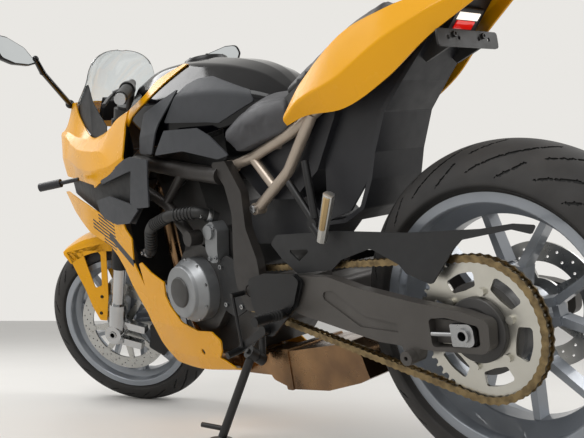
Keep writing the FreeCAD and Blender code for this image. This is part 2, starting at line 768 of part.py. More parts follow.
def passenger_seat(*cut):
    # x, top z, bottom z, half width
    return seat([(128, 930, 888, 82), (220, 908, 866, 100), (310, 872, 828, 116), (391, 838, 800, 122)], cut)


def skin(stations, thick):
    """One side's panel: each X has its outside points in Y and Z, and the panel goes inwards."""
    wires = []
    for x, points in stations:
        outside = [Vector(x, y, z) for y, z in points]
        inside = []
        for i, here in enumerate(outside):
            back = outside[max(i - 1, 0)]
            on = outside[min(i + 1, len(outside) - 1)]
            along = (on - back).normalize()
            inwards = Vector(0, along.z, -along.y)
            inwards = inwards * -1 if inwards.y > 0 else inwards
            inside.append(here + inwards * thick)
        loop = outside + inside[::-1]
        wires.append(Part.makePolygon(loop + loop[:1]))
    return Part.makeLoft(wires, True, True)


def tail_panels():
    # x, then lower edge, crease and upper edge as (y, z)
    side = skin([
        (372, [(136, 741), (146, 753), (140, 764)]),
        (319, [(128, 750), (146, 780), (128, 818)]),
        (213, [(122, 742), (138, 800), (106, 884)]),
        (114, [(106, 774), (120, 840), (84, 903)]),
        (30, [(84, 823), (94, 866), (64, 906)]),
        (-48, [(58, 858), (66, 884), (46, 904)]),
        (-100, [(40, 880), (46, 892), (38, 902)]),
    ], panel)
    return side


def tail_cover():
    """The yellow deck between the passenger seat and the tail's tip."""
    cover = lofted([(110, both_sides([(40, 916, 12), (82, 903, 0), (80, 896, 0)])),
                    (-104, both_sides([(20, 908, 12), (38, 902, 0), (37, 894, 0)]))])
    return cover


def under_tail():
    """The black inner mudguard, from above the tyre up to the tail lamp."""
    out = [(-56, 865), (29, 782), (67, 755), (139, 688), (164, 625), (193, 598), (238, 537), (298, 515), (372, 520)]
    back = [(368, 527), (300, 524), (247, 544), (204, 606), (175, 634), (148, 695), (72, 763), (34, 790), (-48, 871)]
    sheet = slab(out + back, -84, 84)
    tray = slab([(600, 690, 20), (548, 604, 20), (440, 590, 20), (350, 640, 20), (262, 756, 10), (395, 708, 10),
                 (548, 684, 10)], -92, 92)
    return fused(sheet, tray) if False else Part.makeCompound([sheet, tray])


def tail_light():
    return lofted([(18, both_sides([(20, 868, 4), (58, 864, 4), (54, 842, 4), (20, 838, 4)])),
                   (-62, both_sides([(16, 886, 4), (44, 884, 4), (40, 868, 4), (16, 866, 4)]))])


def plate_bracket():
    arm = slab([(66, 796, 4), (60, 772, 4), (-58, 792, 4), (-58, 812, 4)], 34, 40)
    bar = box(-64, -58, -62, 62, 790, 814)
    return fused(arm, mirrored(arm), bar)


# Fairing

def upper_cowl():
    # x, then deck edge, crease, and lower edge as (y, z)
    side = skin([
        (1000, [(172, 876), (214, 824), (220, 778)]),
        (1150, [(178, 874), (222, 815), (214, 738)]),
        (1300, [(150, 935), (205, 870), (194, 755)]),
        (1420, [(118, 955), (172, 905), (162, 792)]),
        (1505, [(92, 965), (134, 930), (112, 826)]),
        (1560, [(52, 925), (72, 892), (66, 842)]),
    ], panel)
    trim = slab([(1562, 930), (1511, 968), (1300, 990), (1240, 885), (1164, 869), (1000, 880), (1000, 770),
                 (1065, 768), (1215, 730), (1407, 789), (1562, 838)], 20, 260)
    return side.common(trim)


def nose():
    """The dark centre of the nose with its two lamps, one above the other."""
    body = lofted([(1470, both_sides([(20, 940, 6), (88, 925, 10), (96, 840, 10), (40, 770, 10)])),
                   (1562, both_sides([(14, 918, 6), (46, 905, 8), (56, 850, 8), (26, 806, 8)]))], False)
    return body


def headlights():
    upper = lofted([(1563, both_sides([(10, 902, 4), (34, 896, 4), (40, 874, 4), (14, 868, 4)])),
                    (1576, both_sides([(8, 898, 4), (28, 893, 4), (32, 876, 4), (12, 871, 4)]))])
    lower = lofted([(1563, both_sides([(14, 860, 4), (42, 856, 4), (38, 832, 4), (12, 824, 4)])),
                    (1576, both_sides([(10, 856, 4), (34, 852, 4), (30, 835, 4), (10, 828, 4)]))])
    return Part.makeCompound([upper, lower])


def windscreen():
    # z, side x, side y, front x
    rows = [(962, 1392, 118, 1505), (1030, 1340, 128, 1440), (1095, 1306, 112, 1372), (1150, 1292, 62, 1306)]
    wires = []
    for z, side_x, side_y, front_x in rows:
        edges = [arc(Vector(side_x, side_y, z), Vector(front_x, 0, z), Vector(side_x, -side_y, z)),
                 line(Vector(side_x, -side_y, z), Vector(side_x - 3.4, -side_y, z)),
                 arc(Vector(side_x - 3.4, -side_y, z), Vector(front_x - 4, 0, z), Vector(side_x - 3.4, side_y, z)),
                 line(Vector(side_x - 3.4, side_y, z), Vector(side_x, side_y, z))]
        wires.append(Part.Wire(edges))
    return Part.makeLoft(wires, True, False)


def side_ducts():
    # x, then upper edge, middle and lower edge as (y, z)
    side = skin([
        (820, [(196, 790), (208, 690), (188, 500)]),
        (950, [(204, 790), (214, 690), (190, 500)]),
        (1060, [(206, 790), (214, 690), (192, 500)]),
        (1170, [(204, 790), (206, 700), (190, 500)]),
    ], panel)
    trim = slab([(932, 770, 6), (836, 745, 12), (868, 624, 8), (895, 576, 8), (1023, 513, 4), (1018, 538),
                 (937, 577, 8), (968, 614, 8), (1070, 675, 20), (1160, 727, 4), (1036, 760, 8)], 20, 260)
    return side.common(trim)


def lower_cowl():
    # x, then points from the blade's top down to the belly's middle as (y, z)
    side = skin([
        (700, [(186, 760), (186, 560), (150, 440), (132, 300), (112, 190), (60, 166), (0, 164)]),
        (900, [(192, 760), (192, 560), (170, 440), (152, 300), (118, 190), (62, 166), (0, 164)]),
        (1060, [(196, 760), (196, 560), (168, 470), (148, 320), (104, 200), (56, 172), (0, 170)]),
        (1220, [(188, 760), (186, 600), (150, 480), (120, 330), (80, 210), (50, 190), (0, 188)]),
        (1440, [(150, 770), (140, 680), (120, 500), (90, 340), (60, 220), (40, 200), (0, 198)]),
    ], panel)
    trim = slab([
        (1434, 751), (1197, 651, 20), (1075, 616, 20), (1036, 566, 10), (1022, 505, 10), (1005, 458, 6), (935, 434, 3),
        (992, 375, 20), (940, 322, 20), (891, 309), (857, 296), (783, 298, 10), (757, 269, 10), (764, 223, 6),
        (713, 207, 3), (790, 150), (980, 150, 30), (1038, 262, 30), (1056, 339), (1058, 463, 10), (1066, 520, 14),
        (1183, 550, 20), (1306, 611, 30), (1413, 691, 20),
    ], 0, 260)
    side = main_solids(side.common(trim))
    return fused(side, mirrored(side))


def dash():
    screen = slab([(1262, 1006, 6), (1280, 1022, 6), (1330, 966, 6), (1312, 950, 6)], -84, 84)
    return screen


def fairing_stay():
    """Tubes from the steering head to the nose, the dash and the mirrors."""
    spine = pipe([Vector(1196, 0, 836), Vector(1330, 0, 880), Vector(1468, 0, 884)], [0, 80, 0], 10)
    cross = cross_rod(1330, 880, 9, -140, 140)
    riser = pipe([Vector(1330, 0, 880), Vector(1340, 0, 930), Vector(1310, 0, 966)], [0, 20, 0], 8)
    return fused(spine, cross, riser)


def mirror():
    stem = pipe([Vector(1312, 154, 968), Vector(1296, 196, 1010), Vector(1222, 316, 1124), Vector(1192, 360, 1142)],
                [0, 24, 60, 0], 8)
    shell = lofted([(1178, [(302, 1112, 14), (442, 1122, 14), (454, 1172, 20), (312, 1164, 14)]),
                    (1206, [(320, 1122, 10), (426, 1130, 10), (434, 1162, 10), (328, 1156, 10)])])
    return fused(stem, shell)


def turn_signal(base, tip, radius):
    stem = rod(base, base + (tip - base) * 0.5, radius * 0.5)
    body = rod(base + (tip - base) * 0.45, tip, radius)
    return fused(stem, body)


# Steering

def fork_leg():
    outer = Part.makeCylinder(outer_tube_radius, fork_top_z - 230, Vector(0, leg_y, 230))
    outer = outer.cut(Part.makeCylinder(stanchion_radius + 0.3, fork_top_z - 230 - 20, Vector(0, leg_y, 229)))
    return outer


def fork_upper():
    legs = [fork_leg(), mirrored(fork_leg())]
    yokes = []
    for z in (lower_yoke_z, upper_yoke_z):
        yoke = deck([(-62, 34, 12), (-62, -34, 12), (-30, -leg_y - 38, 20), (34, -leg_y - 38, 20), (30, -30, 40),
                     (30, 30, 40), (34, leg_y + 38, 20), (-30, leg_y + 38, 20)],
                    z - yoke_thickness / 2, z + yoke_thickness / 2)
        yokes.append(yoke)
    stem = Part.makeCylinder(16, upper_yoke_z - lower_yoke_z + 10, Vector(-fork_offset, 0, lower_yoke_z))
    nut = Part.makeCylinder(17, 10, Vector(-fork_offset, 0, upper_yoke_z + yoke_thickness / 2))
    made = legs[0].fuse([legs[1]] + yokes + [stem, nut])
    made = made.cut([Part.makeCylinder(stanchion_radius + 0.3, 480, Vector(0, y, 229)) for y in (leg_y, -leg_y)])
    return made.removeSplitter()


def fork_lower():
    casting = Part.makeCylinder(casting_radius, 135, Vector(0, leg_y, -32))
    foot = Part.makeCylinder(casting_radius, 2 * casting_radius, Vector(0, leg_y - casting_radius, 0), Vector(0, 1, 0))
    tube = Part.makeCylinder(stanchion_radius, 610, Vector(0, leg_y, 90))
    lug = box(-100, -10, leg_y - 18, leg_y + 6, 20, 44)
    lug_low = box(-92, -10, leg_y - 18, leg_y + 6, -40, -16)
    leg = fused(casting, foot, tube, lug, lug_low)
    bore = Part.makeCylinder(front_axle_radius + 0.1, 300, Vector(0, 0, 0), Vector(0, 1, 0))
    leg = leg.cut(bore)
    return pair(leg)


def front_axle_bar():
    bar = Part.makeCylinder(front_axle_radius - 0.1, 2 * (leg_y + 32), Vector(0, -leg_y - 32, 0), Vector(0, 1, 0))
    bore = Part.makeCylinder(8, 2 * (leg_y + 40), Vector(0, -leg_y - 40, 0), Vector(0, 1, 0))
    spacers = []
    for sign in (1, -1):
        start = sign * (front_disc_y + 3.5 + running_gap)
        length = leg_y - casting_radius - 0.1 - abs(start)
        spacers.append(Part.makeCylinder(20, length, Vector(0, start, 0), Vector(0, sign, 0)))
    return bar.fuse(spacers).cut(bore).removeSplitter()


def caliper(radius, gap_y, gap_half, y_half, angle_from, angle_to):
    """A block astride a disc's edge, about a wheel's centre."""
    start, end = math.radians(angle_from), math.radians(angle_to)
    inner, outer = radius - 40, radius + 20

    def at(r, a):
        return (r * math.cos(a), r * math.sin(a))
    mid = (start + end) / 2
    corners = [at(inner, start), at(inner * 0.99, mid), at(inner, end), at(outer, end), at(outer * 1.02, mid),
               at(outer, start)]
    body = slab([(x, z, 8) for x, z in corners], gap_y - y_half, gap_y + y_half)
    slot_corners = [at(inner - 20, start - 0.3), at(inner - 20, end + 0.3), at(radius + 8, end + 0.3),
                    at((radius + 8) * 1.06, mid), at(radius + 8, start - 0.3)]
    slot = slab(slot_corners, gap_y - gap_half, gap_y + gap_half)
    return main_solids(body.cut(slot))


def front_calipers():
    left = caliper(front_disc_radius, front_disc_y, 6, 28, 158, 198)
    return pair(left)


def front_mudguard():
    """An arch over the tyre with a leg down the inside of each fork leg."""
    half, top, drop, sheet = leg_y - casting_radius - 0.3, front_radius + 20, 268.0, 3.0
    turn_from, turn_to = 52.0, 158.0
    profile = [Vector(drop, half, 0), Vector(top - 26, half, 0), Vector(top, 40, 0), Vector(top + 4, 0, 0),
               Vector(top, -40, 0), Vector(top - 26, -half, 0), Vector(drop, -half, 0)]
    inner = [Vector(p.x - (0 if i in (0, 6) else sheet), p.y * (half - sheet) / half, 0)
             for i, p in enumerate(profile)]
    loop = profile + inner[::-1]
    face = Part.Face(Part.makePolygon(loop + loop[:1]))
    arch = face.revolve(Vector(0, 0, 0), Vector(0, 1, 0), turn_to - turn_from)
    arch.rotate(Vector(0, 0, 0), Vector(0, 1, 0), -turn_to)
    leg = slab([(-30, 300, 6), (60, 262, 6), (70, 150, 20), (52, 60, 10), (28, 44, 10), (6, 80, 20), (-36, 190, 30)],
               half - sheet, half)
    window = slab([(10, 250, 14), (-14, 240, 14), (8, 160, 14), (34, 150, 14), (36, 200, 14)], 50, 90)
    side = leg.cut(window)
    made = arch.fuse([side, mirrored(side)])
    return made


def handlebars():
    bars = []
    clamp = Part.makeCylinder(outer_tube_radius + 8, 30, Vector(0, leg_y, upper_yoke_z + yoke_thickness / 2 + 1))
    clamp = clamp.cut(Part.makeCylinder(outer_tube_radius + 0.1, 60, Vector(0, leg_y, upper_yoke_z)))
    frame = fork_frame()
    clamp.Placement = frame.multiply(clamp.Placement)
    start, end = Vector(1092, 132, 1030), Vector(1002, 366, 989)
    bar = rod(start, end, 11)
    riser = pipe([Vector(1136, leg_y + 16, 957), Vector(1108, leg_y + 30, 1000), start + (end - start) * 0.06],
                 [0, 12, 0], 12)
    bars = fused(clamp, riser, bar)
    return pair(bars)


def grips():
    start, end = Vector(1092, 132, 1030), Vector(1002, 366, 989)
    along = end - start
    inner = start + along * 0.5
    grip = rod(inner, start + along * 0.975, 16.5).cut(rod(start, end, 11.2))
    weight = rod(start + along * 0.98, start + along * 1.06, 14).cut(rod(start, end, 11.2))
    return pair(grip), pair(weight)


def control_levers():
    start, end = Vector(1092, 132, 1030), Vector(1002, 366, 989)
    along = (end - start).normalize()
    forward = Vector(0.9, 0.32, -0.1).normalize()
    perch_at = start + along * 85
    perch = rod(perch_at - along * 11, perch_at + along * 11, 18).cut(rod(start, end, 11.2))
    pivot = perch_at + forward * 44
    arm = rod(perch_at + forward * 14, pivot, 9)
    blade = pipe([pivot, pivot + along * 60 + forward * 6, pivot + along * 168 + forward * 2], [0, 30, 0], 5)
    switch = rod(perch_at + along * 14, perch_at + along * 36, 21).cut(rod(start, end, 11.2))
    made = fused(perch, arm, blade)
    return Part.makeCompound([made, mirrored(made), switch, mirrored(switch)])


# Rider's controls

def rider_footrests():
    plate = slab([(394, 435, 14), (372, 418, 10), (405, 366, 14), (446, 338, 10), (500, 300, 14), (532, 300, 14), (560, 372, 20),
                  (560, 430, 14), (500, 440, 14)], 159, 165)
    guard = slab([(394, 435, 14), (378, 420, 8), (405, 372, 14), (446, 345, 10), (492, 343, 14), (479, 382, 20),
                  (457, 407, 10)], 165, 171)
    peg = rod(Vector(446, 164, 352), Vector(440, 252, 352), 10)
    return fused(plate, guard, peg)


def gear_lever():
    lever = slab([(520, 322, 6), (512, 306, 6), (616, 262, 6), (622, 276, 6)], 174, 180)
    toe = rod(Vector(616, 176, 268), Vector(616, 216, 264), 8)
    eye = cross_rod(516, 316, 11, 165.3, 181)
    link = rod(Vector(600, 182, 276), Vector(606, 182, 396), 4)
    stub = rod(Vector(606, 150.3, 396), Vector(606, 186, 396), 6)
    return fused(lever, toe, link, stub, eye)


def passenger_hangers():
    a, b, c = Vector(345, 0, 661), Vector(405, 0, 625), Vector(319, 0, 530)
    legs = []
    for start in (a, b):
        legs.append(rod(Vector(start.x, 128, start.z), Vector(c.x, 150, c.z), 8))
    peg = rod(Vector(300, 158, 500), Vector(240, 176, 584), 9)
    boss = cross_rod(c.x, c.z, 14, 136, 162)
    link = rod(Vector(c.x, 158, c.z), Vector(300, 158, 500), 9)
    return fused(legs[0], legs[1], boss, link, peg)


def chain_guard():
    blade = slab([(494, 501, 6), (469, 519, 10), (397, 516, 20), (282, 511, 20), (104, 492, 20), (-47, 485, 10),
                  (-107, 488, 10), (-146, 482, 3), (-137, 469, 3), (-105, 479, 10), (-9, 470, 10), (8, 457, 10),
                  (66, 397, 10), (119, 419, 10), (133, 436, 10), (197, 470, 20), (280, 453, 10), (311, 434, 10),
                  (419, 431, 10), (464, 467, 10)], 131, 135)
    window = slab([(440, 484, 4), (364, 480, 4), (407, 457, 4)], 130, 136)
    return blade.cut(window)


def side_stand():
    """The stand's leg, from its fork at the frame down to the foot on the floor."""
    placed = park()
    pivot = stand_pivot()
    foot = placed.inverse().multVec(stand_foot_world())
    along = (foot - pivot).normalize()
    floor_up = placed.inverse().Rotation.multVec(Vector(0, 0, 1))
    knee = foot - along * 8 + floor_up * 4
    leg = rod(pivot, knee, 10.5)
    eye = rod(pivot - stand_axis() * 12, pivot + stand_axis() * 12, 16)
    eye = eye.cut(rod(pivot - stand_axis() * 20, pivot + stand_axis() * 20, 6.3))
    leg = leg.cut(rod(pivot - stand_axis() * 20, pivot + stand_axis() * 20, 6.3))
    pad = Part.makeCylinder(26, 9, foot, floor_up)
    tang = rod(knee - along * 20, knee + Vector(50, 20, 30), 6)
    return fused(leg, eye, pad, tang)


def stand_pivot():
    return Vector(638, 132, 246)


def stand_axis():
    tilt = math.radians(40)
    return Vector(0, math.cos(tilt), math.sin(tilt))


def stand_foot_world():
    return Vector(700, 225, 0)


def stand_bracket():
    axis = stand_axis()
    pivot = stand_pivot()
    pin = rod(pivot - axis * 36, pivot + axis * 18, 6)
    near = rod(pivot - axis * 38, pivot - axis * 15, 14)
    arm = rod(pivot - axis * 36, Vector(652, 80, 300), 9)
    return fused(pin, near, arm)


def build_chassis():
    """The pieces of the frame, the engine and the bodywork, in the upright machine."""
    made = {}
    made["main_frame"] = main_frame()
    made["subframe"] = carved(subframe(), made["main_frame"])
    made["crankcase"] = crankcase()
    made["cylinder_head"] = carved(engine_top(), made["crankcase"])
    made["engine_covers"] = engine_covers()
    made["sprocket_cover"] = sprocket_cover()
    made["radiator"] = radiator()
    made["exhaust_headers"] = exhaust_headers()
    made["exhaust_box"] = exhaust_box()
    made["coolant_hose"] = carved(coolant_hose(), made["crankcase"], made["cylinder_head"])
    tank = tank_body()
    made["fuel_tank"] = tank
    made["tank_pads"] = tank_pads(tank)
    made["rider_seat"] = rider_seat(tank, made["tank_pads"])
    made["passenger_seat"] = passenger_seat()
    side = tail_panels()
    made["tail_panels"] = fused(side, mirrored(side), tail_cover())
    made["rider_seat"] = carved(made["rider_seat"], made["tail_panels"])
    made["tail_light"] = carved(tail_light(), made["tail_panels"])
    made["under_tail"] = carved(under_tail(), made["tail_light"], made["tail_panels"])
    made["plate_bracket"] = carved(plate_bracket(), made["under_tail"])
    made["swingarm"] = swingarm()
    made["rear_axle"] = axle_with_blocks()
    made["chain"] = chain_solid()
    made["chain_guard"] = chain_guard()
    front_wheel_gear = sprocket(front_teeth, front_pitch_radius, 14)
    phase = -math.degrees(front_pin_angles()[0])
    front_wheel_gear.rotate(Vector(0, 0, 0), Vector(0, 1, 0), phase)
    front_wheel_gear.translate(Vector(front_sprocket_x, chain_y, front_sprocket_z))
    made["front_sprocket"] = front_wheel_gear
    made["rider_footrests"] = pair(rider_footrests())
    made["gear_lever"] = gear_lever()
    made["passenger_footrests"] = pair(passenger_hangers())
    made["upper_cowl"] = pair(upper_cowl())
    made["nose"] = nose()
    made["headlights"] = headlights()
    made["windscreen"] = windscreen()
    made["side_ducts"] = pair(side_ducts())
    made["lower_cowl"] = lower_cowl()
    made["dash"] = dash()
    made["fairing_stay"] = carved(fairing_stay(), made["main_frame"], made["dash"], made["nose"])
    made["mirrors"] = pair(mirror())
    made["turn_signals"] = pair(turn_signal(Vector(1284, 206, 770), Vector(1380, 290, 766), 13))
    made["stand_bracket"] = carved(stand_bracket(), made["crankcase"])
    return made


def build_steering():
    """The pieces that turn with the bars, straight ahead, in the upright machine."""
    frame = fork_frame()
    made = {"fork_upper": fork_upper(), "fork_lower": fork_lower(), "front_axle": front_axle_bar(),
            "front_calipers": front_calipers()}
    for name, shape in made.items():
        shape.Placement = frame.multiply(shape.Placement)
    guard = front_mudguard()
    guard.translate(front_axle)
    made["front_mudguard"] = guard
    made["handlebars"] = carved(handlebars(), made["fork_upper"])
    made["grips"], made["bar_weights"] = grips()
    made["control_levers"] = control_levers()
    return made


def build():
    """All nodes of the parked machine, by body."""
    bodies = {"chassis": build_chassis(), "steering": build_steering(), "side_stand": {"side_stand": side_stand()}}
    bodies["front_wheel"] = front_wheel()
    bodies["rear_wheel"] = rear_wheel()
    for shape in bodies["front_wheel"].values():
        shape.translate(front_axle)
    for shape in bodies["rear_wheel"].values():
        shape.translate(rear_axle)
    turn, placed = steered(), park()
    for body in ("steering", "front_wheel"):
        for shape in bodies[body].values():
            shape.Placement = turn.multiply(shape.Placement)
    for nodes in bodies.values():
        for shape in nodes.values():
            shape.Placement = placed.multiply(shape.Placement)
    return bodies


def main():
    os.makedirs("parts", exist_ok=True)
    bodies = build()
    shapes = {name: shape for nodes in bodies.values() for name, shape in nodes.items()}
    whole = Part.makeCompound(list(shapes.values())).optimalBoundingBox(True, False)
    to_origin = Vector(-whole.Center.x, -whole.Center.y, -whole.ZMin)
    for name, shape in shapes.items():
        shape.translate(to_origin)
        shape.exportStep("parts/" + name + ".step")
    print("origin moved by", to_origin)


if __name__ == "__main__":
    main()
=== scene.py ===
import json
import logging
import math
from dataclasses import dataclass
from enum import Enum
from typing import Callable, Optional, Sequence

import bmesh
import bpy
from bmesh.types import BMesh, BMFace, BMVert
from bpy.types import Material, Mesh, Node, NodeSocket, NodeTree, Object
from mathutils import Matrix, Vector


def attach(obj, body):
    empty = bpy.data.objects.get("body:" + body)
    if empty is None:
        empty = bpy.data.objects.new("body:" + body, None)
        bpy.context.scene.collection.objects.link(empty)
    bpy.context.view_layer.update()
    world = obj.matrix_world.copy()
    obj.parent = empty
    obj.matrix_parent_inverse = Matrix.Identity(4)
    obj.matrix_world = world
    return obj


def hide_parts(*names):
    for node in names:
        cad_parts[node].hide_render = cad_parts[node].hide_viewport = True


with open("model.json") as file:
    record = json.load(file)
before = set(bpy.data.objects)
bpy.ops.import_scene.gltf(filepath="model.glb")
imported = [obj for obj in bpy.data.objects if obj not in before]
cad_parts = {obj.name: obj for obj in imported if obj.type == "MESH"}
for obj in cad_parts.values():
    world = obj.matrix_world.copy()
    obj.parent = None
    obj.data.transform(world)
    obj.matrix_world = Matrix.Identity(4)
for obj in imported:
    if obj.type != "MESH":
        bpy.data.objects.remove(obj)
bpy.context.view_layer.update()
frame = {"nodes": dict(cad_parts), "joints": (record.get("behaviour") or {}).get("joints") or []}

# A faired sport motorcycle on its side stand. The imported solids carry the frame, the engine, the wheels
# and the running gear; this script dresses them, and lays the smooth bodywork, the treaded tyres, the
# stuffed seats, the mirrors and the small fastenings in place of or over the plain ones. Places are
# written in the machine's own upright frame in millimetres: X ahead of the rear axle, Y to the left, Z up.

LOG = logging.getLogger("machine")
MM = 0.001
RAKE = math.radians(25.0)
WHEELBASE = 1465.0
REAR_RADIUS = 315.0
FRONT_RADIUS = 300.0

Point = tuple[float, float, float]


# Frames of the machine

@dataclass(frozen=True)
class Drawing:
    """The upright frame of the machine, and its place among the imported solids."""

    to_row: Matrix

    @classmethod
    def of_wheel(cls, wheel_joint: str, centre: Point) -> "Drawing":
        """The frame that a wheel's axle and the steering axis fix together.

        Args:
            wheel_joint: name of the joint that the wheel turns on.
            centre: the wheel's centre in the upright frame, in mm.

        Returns:
            The frame, turned with the steering when the wheel is the steered one.
        """
        joints = {joint["name"]: joint for joint in frame["joints"]}
        left = Vector(joints[wheel_joint]["axis"]).normalized()
        up_fork = Vector(joints["steering"]["axis"]).normalized()
        ahead_of_fork = left.cross(up_fork).normalized()
        ahead = ahead_of_fork * math.cos(RAKE) - up_fork * math.sin(RAKE)
        up = ahead.cross(left).normalized()
        turn = Matrix((ahead, left, up)).transposed()
        origin = Vector(joints[wheel_joint]["pos_m"]) - turn @ (Vector(centre) * MM)
        return cls(Matrix.Translation(origin) @ turn.to_4x4())

    def point(self, place: Sequence[float]) -> Vector:
        """Where a place in mm lies in the row frame, in metres."""
        return self.to_row @ (Vector(place) * MM)

    def direction(self, way: Sequence[float]) -> Vector:
        """A direction of the upright frame in the row frame."""
        return (self.to_row.to_3x3() @ Vector(way)).normalized()

    def place(self, mesh: BMesh) -> None:
        """Moves a mesh that is drawn in mm into the row frame."""
        bmesh.ops.transform(mesh, matrix=self.to_row @ Matrix.Scale(MM, 4), verts=mesh.verts)


CHASSIS = Drawing.of_wheel("rear_wheel_spin", (0.0, 0.0, REAR_RADIUS))
STEERED = Drawing.of_wheel("front_wheel_spin", (WHEELBASE, 0.0, FRONT_RADIUS))


# Materials

def linear(colour: str) -> tuple[float, float, float, float]:
    """An sRGB hex colour as the linear colour that a shader takes."""
    parts = [int(colour[i:i + 2], 16) / 255 for i in (1, 3, 5)]
    return (*[p / 12.92 if p <= 0.04045 else ((p + 0.055) / 1.055) ** 2.4 for p in parts], 1.0)


def add_node(tree: NodeTree, kind: str, settings: Optional[dict] = None,
             links: Optional[dict] = None) -> Node:
    """Adds one node to a tree.

    Args:
        tree: the node tree.
        kind: the node's type, without its ShaderNode prefix.
        settings: values of the node's properties, or of its inputs by name or number.
        links: sockets of other nodes, by the input that each goes to.

    Returns:
        The node.
    """
    node = tree.nodes.new("ShaderNode" + kind)
    for key, value in (settings or {}).items():
        if isinstance(key, str) and hasattr(node, key):
            setattr(node, key, value)
        else:
            node.inputs[key].default_value = value
    for key, source in (links or {}).items():
        tree.links.new(source, node.inputs[key])
    return node


class Grain(Enum):
    """What the surface shows under the hand."""

    NONE = "none"
    ORANGE_PEEL = "orange peel of sprayed paint"
    PEBBLED = "pebbled grain of a mould"
    CAST = "sand-cast skin"
    BRUSHED = "long scratches"
    SPUN = "turning marks about an axle"


@dataclass(frozen=True)
class Finish:
    """A surface finish: its colours, gloss and grain."""

    title: str
    colour: str
    shade: str
    roughness: float
    metallic: float = 0.0
    coat: float = 0.0
    coat_roughness: float = 0.03
    ior: float = 1.5
    grain: Grain = Grain.NONE
    grain_mm: float = 1.0
    bump_mm: float = 0.02
    patch_mm: float = 80.0
    patch_share: float = 0.5
    rough_spread: float = 0.06
    transmission: float = 0.0
    glow: float = 0.0
    axle: Optional[Drawing] = None
    centre: Point = (0.0, 0.0, 0.0)

    def colour_socket(self, tree: NodeTree, where: NodeSocket) -> NodeSocket:
        """The colour, drifting in patches between the main colour and its shade.

        Args:
            tree: the material's tree.
            where: the socket that gives the place on the piece.

        Returns:
            The colour's socket.
        """
        noise = add_node(tree, "TexNoise", {"Scale": 1000 / self.patch_mm, "Detail": 5.0}, {"Vector": where})
        share = add_node(tree, "MapRange", {"From Min": 0.40, "From Max": 0.72, "To Max": self.patch_share},
                         {"Value": noise.outputs["Fac"]})
        mix = add_node(tree, "Mix", {"data_type": "RGBA", 6: linear(self.colour), 7: linear(self.shade)},
                       {0: share.outputs["Result"]})
        return mix.outputs[2]

    def height_socket(self, tree: NodeTree, where: NodeSocket) -> Optional[NodeSocket]:
        """The height of the grain.

        Args:
            tree: the material's tree.
            where: the socket that gives the place on the piece.

        Returns:
            The height's socket, or None on a smooth surface.
        """
        scale = 1000 / self.grain_mm
        if self.grain in (Grain.ORANGE_PEEL, Grain.CAST):
            detail = 1.0 if self.grain is Grain.ORANGE_PEEL else 4.0
            noise = add_node(tree, "TexNoise", {"Scale": scale * 0.5, "Detail": detail}, {"Vector": where})
            return noise.outputs["Fac"]
        if self.grain is Grain.PEBBLED:
            cells = add_node(tree, "TexVoronoi", {"feature": "SMOOTH_F1", "Scale": scale, "Smoothness": 0.6},
                             {"Vector": where})
            return cells.outputs["Distance"]
        if self.grain is Grain.BRUSHED:
            drawn = add_node(tree, "Mapping", {"Scale": (0.04, 1.0, 1.0)}, {"Vector": where})
            noise = add_node(tree, "TexNoise", {"Scale": scale, "Detail": 2.0}, {"Vector": drawn.outputs[0]})
            return noise.outputs["Fac"]
        if self.grain is Grain.SPUN and self.axle:
            turned = self.upright(tree, where, self.axle, self.centre)
            parts = add_node(tree, "SeparateXYZ", {}, {0: turned})
            flat = add_node(tree, "CombineXYZ", {}, {0: parts.outputs[0], 2: parts.outputs[2]})
            radius = add_node(tree, "VectorMath", {"operation": "LENGTH"}, {0: flat.outputs[0]})
            noise = add_node(tree, "TexNoise", {"noise_dimensions": "1D", "Scale": scale, "Detail": 2.0},
                             {"W": radius.outputs["Value"]})
            return noise.outputs["Fac"]
        return None

    @staticmethod
    def upright(tree: NodeTree, where: NodeSocket, drawing: Drawing,
                centre: Point = (0.0, 0.0, 0.0)) -> NodeSocket:
        """Turns a place on a piece into the machine's upright frame, in metres.

        Args:
            tree: the material's tree.
            where: the socket that gives the place on the piece.
            drawing: the upright frame.
            centre: the place in mm that becomes the origin.

        Returns:
            The socket of the upright place.
        """
        back = drawing.to_row.inverted()
        shift = back.translation - Vector(centre) * MM
        node = add_node(tree, "Mapping", {"Location": shift, "Rotation": back.to_euler("XYZ")},
                        {"Vector": where})
        return node.outputs[0]

    def build(self) -> Material:
        """The finish as a material.

        Returns:
            The material.
        """
        material = bpy.data.materials.new(self.title)
        material.use_nodes = True
        tree = material.node_tree
        shader = tree.nodes["Principled BSDF"]
        where = add_node(tree, "TexCoord").outputs["Object"]
        tree.links.new(self.colour_socket(tree, where), shader.inputs["Base Color"])
        shader.inputs["Metallic"].default_value = self.metallic
        shader.inputs["Coat Weight"].default_value = self.coat
        shader.inputs["Coat Roughness"].default_value = self.coat_roughness
        shader.inputs["Transmission Weight"].default_value = self.transmission
        if not self.metallic:
            shader.inputs["IOR"].default_value = self.ior
        smear = add_node(tree, "TexNoise", {"Scale": 1000 / (self.patch_mm * 0.3), "Detail": 6.0},
                         {"Vector": where})
        rough = add_node(tree, "MapRange", {
            "From Min": 0.3, "From Max": 0.7, "To Min": max(self.roughness - self.rough_spread, 0.02),
            "To Max": self.roughness + self.rough_spread}, {"Value": smear.outputs["Fac"]})
        tree.links.new(rough.outputs["Result"], shader.inputs["Roughness"])
        height = self.height_socket(tree, where)
        if height:
            bump = add_node(tree, "Bump", {"Strength": 1.0, "Distance": self.bump_mm * MM}, {"Height": height})
            tree.links.new(bump.outputs["Normal"], shader.inputs["Normal"])
        if self.glow:
            shader.inputs["Emission Color"].default_value = linear(self.colour)
            shader.inputs["Emission Strength"].default_value = self.glow
        return material


